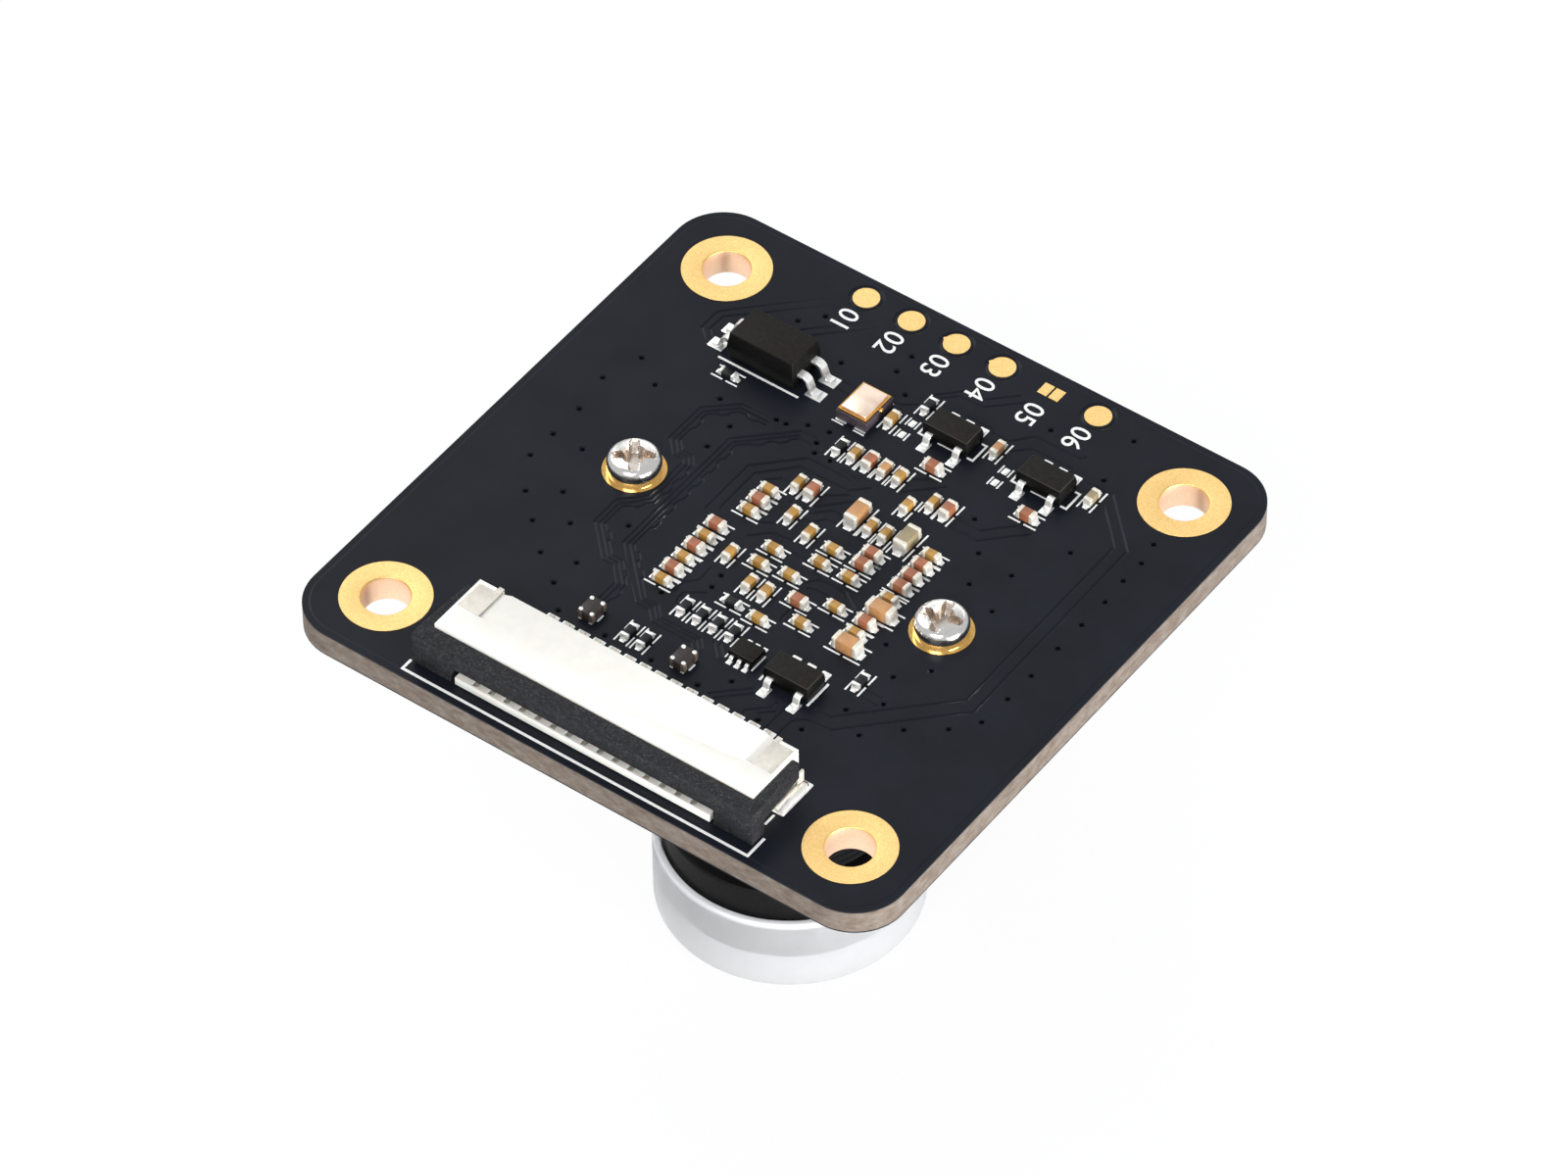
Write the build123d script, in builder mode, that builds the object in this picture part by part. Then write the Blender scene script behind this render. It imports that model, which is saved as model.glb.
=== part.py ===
from build123d import *
import os

os.makedirs("parts", exist_ok=True)

# The origin is the middle of the lens cap's closed end, with +Z up the lens axis to the
# circuit board, +X to the right along the cable connector and -Y out of its mouth

# Circuit board
hole_spacing = 30.0
hole_edge_distance = 4.0
board_corner_radius = 3.0
board_thickness = 1.6
hole_diameter = 2.7
hole_pad_diameter = 5.0
plating = 0.04

# Screws that hold the lens holder under the board
screw_spacing = 20.0
screw_hole_diameter = 2.2
screw_pad_diameter = 3.5
screw_head_diameter = 3.0
screw_head_height = 1.15
screw_dome_rise = 0.6
screw_shank_diameter = 1.9
screw_length = 4.5
recess_depth = 0.6
recess_taper = 10.0
recess_reach = 2.0
recess_width = 0.42

# Stack of heights from the cap's closed end up to the board
cap_end_thickness = 0.8
cap_front_gap = 1.2
lens_head_height = 5.1
exposed_thread = 3.9
holder_height = 14.0

# Lens cap
cap_wall = 0.4
cap_depth = 5.2
cap_clearance = 0.1
cap_rib_clearance = 0.02
cap_rib_width = 0.4
cap_rib_height = 1.4
cap_rib_start = 3.2
cap_rib_count = 4
cap_rib_turn = -41.0
cap_edge_chamfer = 0.5

# Lens barrel, outside
head_front_chamfer = 0.3
head_rear_chamfer = 0.2
thread_diameter = 12.0
lens_head_step = 1.0
thread_clearance = 0.05
barrel_length = 16.0

# Lens barrel, inside
cell_diameter = 9.4
lip_thickness = 1.2
lip_cone = 1.4
glass_clearance = 0.03
seat_width = 1.0
front_glass_edge = 1.9
front_glass_rise = 0.9
middle_glass_depth = 5.6
middle_glass_edge = 1.6
middle_glass_hollow = 0.5
rear_glass_edge = 1.9
rear_glass_rise = 0.5
retaining_ring_thickness = 0.8
rear_recess = 0.2

# Lens holder
holder_wall = 1.4
holder_box_height = 5.6
holder_tube_wall = 0.85
holder_flange_thickness = 2.0
holder_ear_radius = 2.5
holder_chamfer = 0.6
holder_corner_radius = 1.0
sensor_room = 11.4
sensor_room_height = 3.4
filter_size = 8.4
filter_thickness = 0.5
filter_clearance = 0.1
filter_window = 7.0
filter_ledge = 0.6
screw_grip = 0.02

# Image sensor under the board
sensor_size = 9.6
sensor_height = 1.3
sensor_wall = 1.0
sensor_floor = 0.45
sensor_die_width = 6.4
sensor_die_length = 5.1
sensor_die_thickness = 0.35
sensor_glass_thickness = 0.5

# Cable connector, moulded housing, heights above the board's top
contact_count = 15
contact_pitch = 1.0
housing_width = 20.5
housing_height = 2.5
housing_standoff = 0.1
housing_front = 16.85
housing_depth = 3.9
lip_reach = 1.05
contact_side_margin = 1.2
lip_top = 0.6
groove_width = 0.36
groove_floor = 0.25
groove_front_wall = 0.12
cavity_side_gap = 0.05
cavity_top = 1.9
cavity_back_wall = 0.95
tab_pocket_width = 1.7
tab_pocket_length = 2.15
tab_pocket_depth = 0.25
tab_pocket_side_wall = 0.25
tab_pocket_ramp = 0.35
tab_pocket_rim = 0.2
tab_pocket_rim_width = 0.85

# Cable connector, sliding actuator
actuator_travel = 1.0
actuator_clearance = 0.05
actuator_side_reach = 0.7
actuator_bar_depth = 1.03
actuator_bar_bottom = 1.17
actuator_top = 2.3
ear_width = 2.5
tongue_clearance = 0.2
tongue_length = 2.3
tongue_tip_height = 0.35
arm_length = 3.4
arm_bottom = 1.1
arm_tip_width = 0.4
latch_length = 0.4
latch_height = 0.5
latch_reach = 0.15
latch_bottom = 1.45
latch_groove_inset = 0.4
actuator_edge_radius = 0.12

# Cable connector, metal parts
contact_width = 0.3
contact_thickness = 0.16
contact_tail = 1.9
contact_lift = 0.02
contact_bend_end = 0.45
contact_bend_start = 0.1
contact_tip = 0.5
bump_height = 0.72
bump_start = 1.5
bump_crest_start = 1.95
bump_crest_end = 2.15
bump_end = 2.8
tab_thickness = 0.15
tab_gap = 0.07
tab_foot_width = 0.45
tab_foot_length = 2.45
tab_foot_gap = 0.05
tab_upstand_height = 0.95
tab_upstand_length = 0.5

# Optocoupler
opto_x = -8.72
opto_y = 10.74
opto_length = 4.4
opto_width = 2.6
opto_height = 2.0
opto_span = 7.0
opto_pitch = 1.27
opto_lead_width = 0.4
opto_lead_thickness = 0.2

# Oscillator
oscillator_x = -2.62
oscillator_y = 10.6
oscillator_width = 2.0
oscillator_length = 2.5
oscillator_base_height = 0.62
oscillator_ring_height = 0.12
oscillator_ring_inset = 0.08
oscillator_lid_height = 0.14
oscillator_lid_inset = 0.2

# Regulators, the same small five-lead package three times
regulator_length = 2.9
regulator_width = 1.6
regulator_height = 1.1
regulator_span = 2.8
regulator_pitch = 0.95
regulator_lead_width = 0.4
regulator_lead_thickness = 0.14
regulator_row_y = 11.65
left_regulator_x = 2.41
right_regulator_x = 8.45
front_regulator_x = 6.0
front_regulator_y = -7.55

# Level shifter, six leads
shifter_x = 2.85
shifter_y = -7.4
shifter_length = 1.6
shifter_width = 1.2
shifter_height = 0.55
shifter_span = 1.7
shifter_pitch = 0.5
shifter_lead_width = 0.22
shifter_lead_thickness = 0.11
shifter_lead_exit = 0.16

# Common-mode filters
filter_row_y = -9.68
left_choke_x = -5.5
right_choke_x = 0.45
choke_width = 1.0
choke_length = 1.25
choke_height = 0.6
choke_terminal = 0.28

# Moulded packages
package_standoff = 0.08
package_draft = 8.0
lead_knee_share = 0.35
lead_heel_share = 0.6

# Test pads
test_pad_diameter = 1.5
test_pad_row_y = 17.57
test_pad_row_x = (-7.55, -4.55, -1.57, 1.43, 7.68)
split_pad_x = 4.64
split_pad_pitch = 0.72
split_pad_width = 0.6
split_pad_length = 0.85

# Chip capacitors and resistors, as (length, width, height) and the metal at each end
small_chip = (1.0, 0.5, 0.5)
medium_chip = (1.05, 0.6, 0.58)
large_chip = (1.6, 0.8, 0.8)
resistor_chip = (1.0, 0.5, 0.35)
small_terminal = 0.26
large_terminal = 0.32
terminal_skin = 0.02

# Places worked out from the sizes above
board_size = hole_spacing + 2 * hole_edge_distance
lens_front = cap_end_thickness + cap_front_gap
head_rear = lens_front + lens_head_height
holder_front = head_rear + exposed_thread
board_bottom = holder_front + holder_height
board_top = board_bottom + board_thickness
barrel_rear = lens_front + barrel_length
barrel_radius = thread_diameter / 2 - thread_clearance
lens_head_diameter = thread_diameter + 2 * lens_head_step
holder_box = sensor_room + 2 * holder_wall
holder_tube_diameter = thread_diameter + 2 * holder_tube_wall
housing_back = housing_front - housing_depth
lip_front = housing_front + lip_reach
lip_width = (contact_count - 1) * contact_pitch + 2 * contact_side_margin
cavity_width = lip_width + 2 * cavity_side_gap
actuator_width = housing_width + 2 * actuator_side_reach
side_x = housing_width / 2
contact_x = [contact_pitch * (i - (contact_count - 1) / 2) for i in range(contact_count)]


def top_plane(height=0.0):
    return Plane.XY.offset(board_top + height)


def sphere_radius(reach, rise):
    # The sphere whose cap is rise high and reach wide from its axis
    return (reach**2 + rise**2) / (2 * rise)


# Circuit board with its four mounting holes and two screw holes
with BuildPart() as circuit_board:
    with BuildSketch(Plane.XY.offset(board_bottom)):
        RectangleRounded(board_size, board_size, board_corner_radius)
        with GridLocations(hole_spacing, hole_spacing, 2, 2):
            Circle(hole_diameter / 2, mode=Mode.SUBTRACT)
        with GridLocations(screw_spacing, 0, 2, 1):
            Circle(screw_hole_diameter / 2, mode=Mode.SUBTRACT)
    extrude(amount=board_thickness)
circuit_board.part.label = "circuit_board"
export_step(circuit_board.part, "parts/circuit_board.step")

# Gold rings around the mounting holes, and the pads that the screw heads press on
with BuildPart() as mounting_hole_plating:
    with BuildSketch(top_plane()):
        with GridLocations(hole_spacing, hole_spacing, 2, 2):
            Circle(hole_pad_diameter / 2)
            Circle(hole_diameter / 2, mode=Mode.SUBTRACT)
    extrude(amount=plating)
mounting_hole_plating.part.label = "mounting_hole_plating"
export_step(mounting_hole_plating.part, "parts/mounting_hole_plating.step")

with BuildPart() as screw_hole_plating:
    with BuildSketch(top_plane()):
        with GridLocations(screw_spacing, 0, 2, 1):
            Circle(screw_pad_diameter / 2)
            Circle(screw_hole_diameter / 2, mode=Mode.SUBTRACT)
    extrude(amount=plating)
screw_hole_plating.part.label = "screw_hole_plating"
export_step(screw_hole_plating.part, "parts/screw_hole_plating.step")

# Gold test pads along the back edge, five round and one split
with BuildPart() as test_pads:
    with BuildSketch(top_plane()):
        with Locations([(x, test_pad_row_y) for x in test_pad_row_x]):
            Circle(test_pad_diameter / 2)
        with Locations((split_pad_x, test_pad_row_y)):
            with GridLocations(split_pad_pitch, 0, 2, 1):
                Rectangle(split_pad_width, split_pad_length)
    extrude(amount=plating)
test_pads.part.label = "test_pads"
export_step(test_pads.part, "parts/test_pads.step")

# Pan-head screws with a cross recess, from the board's top into the holder's ears
head_seat = board_top + plating
head_top = head_seat + screw_head_height
with BuildPart() as screw:
    with BuildSketch(Plane.XY.offset(head_seat)):
        Circle(screw_head_diameter / 2)
    extrude(amount=screw_head_height)
    dome_radius = sphere_radius(screw_head_diameter / 2, screw_dome_rise)
    with Locations((0, 0, head_top - dome_radius)):
        Sphere(dome_radius, rotation=(90, 0, 0), mode=Mode.INTERSECT)
    with BuildSketch(Plane.XY.offset(head_top)):
        Rectangle(recess_reach, recess_width)
        Rectangle(recess_width, recess_reach)
    extrude(amount=-recess_depth, taper=recess_taper, mode=Mode.SUBTRACT)
    with BuildSketch(Plane.XY.offset(head_seat)):
        Circle(screw_shank_diameter / 2)
    extrude(amount=-screw_length)

with BuildPart() as holder_screws:
    with GridLocations(screw_spacing, 0, 2, 1):
        add(screw.part)
holder_screws.part.label = "holder_screws"
export_step(holder_screws.part, "parts/holder_screws.step")

# Image sensor: an open tray, the die on its floor and a cover glass on its rim
sensor_front = board_bottom - sensor_height
with BuildPart() as sensor_package:
    with BuildSketch(Plane.XY.offset(board_bottom)):
        Rectangle(sensor_size, sensor_size)
    extrude(amount=-sensor_height)
    with BuildSketch(Plane.XY.offset(sensor_front)):
        Rectangle(sensor_size - 2 * sensor_wall, sensor_size - 2 * sensor_wall)
    extrude(amount=sensor_height - sensor_floor, mode=Mode.SUBTRACT)
sensor_package.part.label = "sensor_package"
export_step(sensor_package.part, "parts/sensor_package.step")

with BuildPart() as sensor_die:
    with BuildSketch(Plane.XY.offset(board_bottom - sensor_floor)):
        Rectangle(sensor_die_width, sensor_die_length)
    extrude(amount=-sensor_die_thickness)
sensor_die.part.label = "sensor_die"
export_step(sensor_die.part, "parts/sensor_die.step")

with BuildPart() as sensor_glass:
    with BuildSketch(Plane.XY.offset(sensor_front)):
        Rectangle(sensor_size - sensor_wall, sensor_size - sensor_wall)
    extrude(amount=-sensor_glass_thickness)
sensor_glass.part.label = "sensor_glass"
export_step(sensor_glass.part, "parts/sensor_glass.step")

# Lens holder: a box over the sensor, two screw ears and the threaded tube, one moulding
room_end = board_bottom - sensor_room_height
ledge_end = room_end - filter_thickness - filter_ledge
with BuildPart() as lens_holder:
    with BuildSketch(Plane.XY.offset(board_bottom)):
        SlotCenterToCenter(screw_spacing, 2 * holder_ear_radius)
    extrude(amount=-holder_flange_thickness)
    with BuildSketch(Plane.XY.offset(board_bottom)):
        RectangleRounded(holder_box, holder_box, holder_corner_radius)
    extrude(amount=-holder_box_height)
    chamfer(faces().sort_by(Axis.Z)[0].edges(), holder_chamfer)
    with BuildSketch(Plane.XY.offset(holder_front)):
        Circle(holder_tube_diameter / 2)
    extrude(amount=holder_height)
    with BuildSketch(Plane.XY.offset(board_bottom)):
        Rectangle(sensor_room, sensor_room)
    extrude(amount=-sensor_room_height, mode=Mode.SUBTRACT)
    with BuildSketch(Plane.XY.offset(room_end)):
        Rectangle(filter_size + 2 * filter_clearance, filter_size + 2 * filter_clearance)
    extrude(amount=-filter_thickness, mode=Mode.SUBTRACT)
    with BuildSketch(Plane.XY.offset(room_end)):
        Rectangle(filter_window, filter_window)
    extrude(amount=-(filter_thickness + filter_ledge), mode=Mode.SUBTRACT)
    with BuildSketch(Plane.XY.offset(holder_front)):
        Circle(thread_diameter / 2)
    extrude(amount=ledge_end - holder_front, mode=Mode.SUBTRACT)
    with BuildSketch(Plane.XY.offset(board_bottom)):
        with GridLocations(screw_spacing, 0, 2, 1):
            Circle(screw_shank_diameter / 2 + screw_grip)
    extrude(amount=-holder_flange_thickness, mode=Mode.SUBTRACT)
lens_holder.part.label = "lens_holder"
export_step(lens_holder.part, "parts/lens_holder.step")

with BuildPart() as infrared_filter:
    with BuildSketch(Plane.XY.offset(room_end)):
        Rectangle(filter_size, filter_size)
    extrude(amount=-filter_thickness)
infrared_filter.part.label = "infrared_filter"
export_step(infrared_filter.part, "parts/infrared_filter.step")

# Lens barrel: a grip head in front, the focus thread behind, one cell for the glass behind a lip
lip_end = lens_front + lip_thickness
lip_bore = cell_diameter - 2 * seat_width
with BuildPart() as lens_barrel:
    with BuildSketch(Plane.XZ):
        with BuildLine():
            Polyline(
                (lip_bore / 2 + lip_cone, lens_front),
                (lens_head_diameter / 2 - head_front_chamfer, lens_front),
                (lens_head_diameter / 2, lens_front + head_front_chamfer),
                (lens_head_diameter / 2, head_rear - head_rear_chamfer),
                (lens_head_diameter / 2 - head_rear_chamfer, head_rear),
                (barrel_radius, head_rear),
                (barrel_radius, barrel_rear),
                (cell_diameter / 2, barrel_rear),
                (cell_diameter / 2, lip_end),
                (lip_bore / 2, lip_end),
                close=True,
            )
        make_face()
    revolve(axis=Axis.Z)
lens_barrel.part.label = "lens_barrel"
export_step(lens_barrel.part, "parts/lens_barrel.step")


def ring(diameter, low, high):
    # A ring about the lens axis, as wide as the seats of the glass
    with BuildPart() as band:
        with BuildSketch(Plane.XY.offset(low)):
            Circle(diameter / 2)
            Circle(diameter / 2 - seat_width, mode=Mode.SUBTRACT)
        extrude(amount=high - low)
    return band


def glass(low, edge, side, rise):
    # A round element with its edge band from low up and one spherical face, on the +1 or -1 side
    # of Z: its middle stands out by rise, or is hollow where rise is negative
    reach = glass_diameter / 2 - seat_width - glass_clearance
    face = low + edge if side > 0 else low
    radius = sphere_radius(reach, abs(rise))
    with BuildPart() as element:
        if rise > 0:
            with BuildSketch(Plane.XY.offset(face)):
                Circle(reach)
            extrude(amount=side * rise)
            with Locations((0, 0, face + side * (rise - radius))):
                Sphere(radius, rotation=(90, 0, 0), mode=Mode.INTERSECT)
        with BuildSketch(Plane.XY.offset(low)):
            Circle(glass_diameter / 2)
        extrude(amount=edge)
        if rise < 0:
            with Locations((0, 0, face + side * (radius + rise))):
                Sphere(radius, rotation=(90, 0, 0), mode=Mode.SUBTRACT)
    return element


# Glass in the cell, from the lip back towards the sensor, with a spacer between each pair
glass_diameter = cell_diameter - 2 * glass_clearance
front_glass_low = lip_end + glass_clearance
middle_glass_low = lens_front + middle_glass_depth
ring_high = barrel_rear - rear_recess
ring_low = ring_high - retaining_ring_thickness
rear_glass_low = ring_low - glass_clearance - rear_glass_edge

front_element = glass(front_glass_low, front_glass_edge, -1, front_glass_rise)
front_element.part.label = "front_element"
export_step(front_element.part, "parts/front_element.step")

front_spacer = ring(glass_diameter, front_glass_low + front_glass_edge, middle_glass_low)
front_spacer.part.label = "front_spacer"
export_step(front_spacer.part, "parts/front_spacer.step")

middle_element = glass(middle_glass_low, middle_glass_edge, 1, -middle_glass_hollow)
middle_element.part.label = "middle_element"
export_step(middle_element.part, "parts/middle_element.step")

rear_spacer = ring(glass_diameter, middle_glass_low + middle_glass_edge, rear_glass_low)
rear_spacer.part.label = "rear_spacer"
export_step(rear_spacer.part, "parts/rear_spacer.step")

rear_element = glass(rear_glass_low, rear_glass_edge, 1, rear_glass_rise)
rear_element.part.label = "rear_element"
export_step(rear_element.part, "parts/rear_element.step")

rear_retaining_ring = ring(cell_diameter, ring_low, ring_high)
rear_retaining_ring.part.label = "rear_retaining_ring"
export_step(rear_retaining_ring.part, "parts/rear_retaining_ring.step")

# Lens cap: a soft cup with a chamfered closed end and short ribs that grip the lens head
cap_inner = lens_head_diameter / 2 + cap_clearance
cap_outer = cap_inner + cap_wall
with BuildPart() as lens_cap:
    with BuildSketch(Plane.XY):
        Circle(cap_outer)
    extrude(amount=cap_depth)
    chamfer(faces().sort_by(Axis.Z)[0].edges(), cap_edge_chamfer)
    with BuildSketch(Plane.XY.offset(cap_end_thickness)):
        Circle(cap_inner)
    extrude(amount=cap_depth - cap_end_thickness, mode=Mode.SUBTRACT)
    with BuildSketch(Plane.XY.offset(cap_rib_start)):
        with PolarLocations(cap_inner + cap_wall / 4, cap_rib_count, start_angle=cap_rib_turn):
            Rectangle(cap_wall / 2, cap_rib_width)
        with PolarLocations(cap_inner, cap_rib_count, start_angle=cap_rib_turn):
            Rectangle(2 * (cap_clearance - cap_rib_clearance), cap_rib_width)
    extrude(amount=cap_rib_height)
lens_cap.part.label = "lens_cap"
export_step(lens_cap.part, "parts/lens_cap.step")

# Connector housing: block, cable lip, slot, contact grooves, side grooves and tab pockets
pocket_outer_x = side_x - tab_pocket_side_wall
pocket_inner_x = pocket_outer_x - tab_pocket_width
tab_pocket_floor = board_top + housing_height - tab_pocket_depth
cavity_back = housing_back + cavity_back_wall
latch_groove_front = housing_front - latch_groove_inset
latch_back = latch_groove_front - actuator_travel - latch_length - 2 * actuator_clearance
side_groove_depth = latch_reach + actuator_clearance
with BuildPart() as connector_housing:
    with BuildSketch(top_plane(housing_standoff)):
        with Locations((0, -housing_front + housing_depth / 2)):
            Rectangle(housing_width, housing_depth)
    extrude(amount=housing_height - housing_standoff)
    with BuildSketch(top_plane(housing_standoff)):
        with Locations((0, -lip_front)):
            Rectangle(lip_width, lip_reach + cavity_back_wall, align=(Align.CENTER, Align.MIN))
    extrude(amount=lip_top - housing_standoff)
    with BuildSketch(top_plane(lip_top)):
        with Locations((0, -housing_front)):
            Rectangle(cavity_width, housing_front - cavity_back, align=(Align.CENTER, Align.MIN))
    extrude(amount=cavity_top - lip_top, mode=Mode.SUBTRACT)
    with BuildSketch(top_plane(groove_floor)):
        with Locations([(x, -lip_front + groove_front_wall) for x in contact_x]):
            groove_length = lip_front - groove_front_wall - housing_back
            Rectangle(groove_width, groove_length, align=(Align.CENTER, Align.MIN))
    extrude(amount=lip_top - groove_floor, mode=Mode.SUBTRACT)
    with BuildSketch(top_plane(latch_bottom - actuator_clearance)):
        for side in (-1, 1):
            with Locations((side * (side_x - side_groove_depth / 2), -latch_groove_front)):
                groove_run = latch_groove_front - latch_back
                Rectangle(side_groove_depth, groove_run, align=(Align.CENTER, Align.MIN))
    extrude(amount=latch_height + 2 * actuator_clearance, mode=Mode.SUBTRACT)
    with BuildSketch(Plane.XZ.offset(housing_back)):
        for side in (-1, 1):
            with BuildLine():
                Polyline(
                    (side * pocket_inner_x, board_top + housing_height),
                    (side * pocket_outer_x, board_top + housing_height),
                    (side * pocket_outer_x, tab_pocket_floor),
                    (side * (pocket_inner_x + tab_pocket_ramp), tab_pocket_floor),
                    close=True,
                )
            make_face()
    extrude(amount=tab_pocket_length, mode=Mode.SUBTRACT)
    with BuildSketch(top_plane(housing_height)):
        for side in (-1, 1):
            with Locations((side * (pocket_outer_x - tab_pocket_rim_width / 2), -housing_back)):
                Rectangle(tab_pocket_rim_width, tab_pocket_rim, align=(Align.CENTER, Align.MAX))
    extrude(amount=-tab_pocket_depth)
connector_housing.part.label = "connector_housing"
export_step(connector_housing.part, "parts/connector_housing.step")

# Connector actuator: front bar, two ears, clamping tongue and latched side arms
bar_back = housing_front + actuator_clearance
bar_front = bar_back + actuator_bar_depth
tongue_top = cavity_top - actuator_clearance
tongue_width = cavity_width - 2 * tongue_clearance
arm_inner = side_x + actuator_clearance
arm_outer = actuator_width / 2
ear_bottom = housing_standoff
with BuildPart() as connector_actuator:
    with BuildSketch(top_plane(actuator_bar_bottom)):
        with Locations((0, -bar_front)):
            Rectangle(actuator_width, actuator_bar_depth, align=(Align.CENTER, Align.MIN))
    extrude(amount=actuator_top - actuator_bar_bottom)
    with BuildSketch(top_plane(ear_bottom)):
        for side in (-1, 1):
            with Locations((side * (actuator_width - ear_width) / 2, -bar_front)):
                Rectangle(ear_width, actuator_bar_depth, align=(Align.CENTER, Align.MIN))
    extrude(amount=actuator_bar_bottom - ear_bottom)
    fillet(edges().filter_by(Axis.X).group_by(Axis.Y)[0].sort_by(Axis.Z)[-1], actuator_edge_radius)
    with BuildSketch(Plane.YZ):
        with BuildLine():
            Polyline(
                (-bar_back, board_top + actuator_bar_bottom),
                (-bar_back, board_top + tongue_top),
                (-bar_back + tongue_length, board_top + tongue_top),
                (-bar_back + tongue_length, board_top + tongue_top - tongue_tip_height),
                close=True,
            )
        make_face()
    extrude(amount=tongue_width / 2, both=True)
    with BuildSketch(top_plane(arm_bottom)):
        for side in (-1, 1):
            with BuildLine():
                Polyline(
                    (side * arm_inner, -bar_back),
                    (side * arm_outer, -bar_back),
                    (side * (arm_inner + arm_tip_width), -bar_back + arm_length),
                    (side * arm_inner, -bar_back + arm_length),
                    close=True,
                )
            make_face()
    extrude(amount=actuator_top - arm_bottom)
    with BuildSketch(top_plane(latch_bottom)):
        for side in (-1, 1):
            with Locations((side * arm_inner, -latch_back - actuator_clearance)):
                Rectangle(2 * latch_reach, latch_length, align=(Align.CENTER, Align.MAX))
    extrude(amount=latch_height)
connector_actuator.part.label = "connector_actuator"
export_step(connector_actuator.part, "parts/connector_actuator.step")

# Connector contacts: a stamped strip each, from the solder tail to the sprung bump
strip_low = groove_floor + contact_lift
strip_high = strip_low + contact_thickness
tail_end = housing_back - contact_tail
bend_end_y = housing_back - contact_bend_end
bend_start_y = housing_back - contact_bend_start
with BuildPart() as connector_contacts:
    with BuildSketch(Plane.YZ):
        with BuildLine():
            Polyline(
                (-tail_end, board_top),
                (-bend_end_y, board_top),
                (-bend_start_y, board_top + strip_low),
                (-lip_front + contact_tip, board_top + strip_low),
                (-lip_front + contact_tip, board_top + strip_high),
                (-lip_front + bump_start, board_top + strip_high),
                (-lip_front + bump_crest_start, board_top + bump_height),
                (-lip_front + bump_crest_end, board_top + bump_height),
                (-lip_front + bump_end, board_top + strip_high),
                (-bend_start_y + contact_thickness / 2, board_top + strip_high),
                (-bend_end_y + contact_thickness / 2, board_top + contact_thickness),
                (-tail_end, board_top + contact_thickness),
                close=True,
            )
        make_face()
    extrude(amount=contact_width / 2, both=True)
contact_strip = connector_contacts.part
with BuildPart() as connector_contacts:
    with Locations([(x, 0, 0) for x in contact_x]):
        add(contact_strip)
connector_contacts.part.label = "connector_contacts"
export_step(connector_contacts.part, "parts/connector_contacts.step")

# Solder tabs: a plate in each top pocket, bent down behind the housing to a side foot
tab_top = housing_height - tab_gap
tab_inner_x = pocket_inner_x + tab_pocket_ramp + tab_gap
tab_outer_x = pocket_outer_x - tab_gap
tab_neck_x = pocket_outer_x - tab_pocket_rim_width - tab_gap
tab_front = housing_back + tab_pocket_length - tab_gap
tab_back = housing_back - tab_foot_gap - tab_thickness
foot_inner_x = side_x + tab_foot_gap
foot_outer_x = foot_inner_x + tab_foot_width
foot_low = board_top
with BuildPart() as solder_tab:
    with BuildSketch(top_plane(tab_top)):
        with Locations(((tab_inner_x + tab_outer_x) / 2, -housing_back - tab_pocket_rim - tab_gap)):
            plate_length = tab_front - housing_back - tab_pocket_rim - tab_gap
            Rectangle(tab_outer_x - tab_inner_x, plate_length, align=(Align.CENTER, Align.MAX))
        with Locations(((tab_inner_x + tab_neck_x) / 2, -tab_front)):
            Rectangle(tab_neck_x - tab_inner_x, tab_front - tab_back, align=(Align.CENTER, Align.MIN))
    extrude(amount=-tab_thickness)
    with BuildSketch(Plane.XY.offset(foot_low)):
        with Locations(((tab_inner_x + tab_neck_x) / 2, -tab_back)):
            Rectangle(tab_neck_x - tab_inner_x, tab_thickness, align=(Align.CENTER, Align.MAX))
    extrude(amount=tab_top)
    with BuildSketch(Plane.XY.offset(foot_low)):
        with Locations((tab_inner_x, -tab_back)):
            Rectangle(foot_outer_x - tab_inner_x, tab_thickness, align=(Align.MIN, Align.MAX))
        with Locations((foot_inner_x, -tab_back)):
            Rectangle(tab_foot_width, tab_foot_length, align=(Align.MIN, Align.MAX))
    extrude(amount=tab_thickness)
    with BuildSketch(Plane.XY.offset(foot_low)):
        with Locations((foot_inner_x, -tab_back)):
            Rectangle(tab_thickness, tab_upstand_length, align=(Align.MIN, Align.MAX))
    extrude(amount=tab_upstand_height)

with BuildPart() as connector_solder_tabs:
    add(solder_tab.part)
    mirror(about=Plane.YZ)
connector_solder_tabs.part.label = "connector_solder_tabs"
export_step(connector_solder_tabs.part, "parts/connector_solder_tabs.step")


def moulded_body(x, y, size_x, size_y, height):
    # A moulded package, drafted both ways from the middle of its height
    middle = package_standoff + (height - package_standoff) / 2
    with BuildPart() as body:
        with BuildSketch(top_plane(middle)):
            with Locations((x, y)):
                Rectangle(size_x, size_y)
        extrude(amount=height - middle, taper=package_draft)
        with BuildSketch(top_plane(middle)):
            with Locations((x, y)):
                Rectangle(size_x, size_y)
        extrude(amount=package_standoff - middle, taper=package_draft)
    return body


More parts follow.
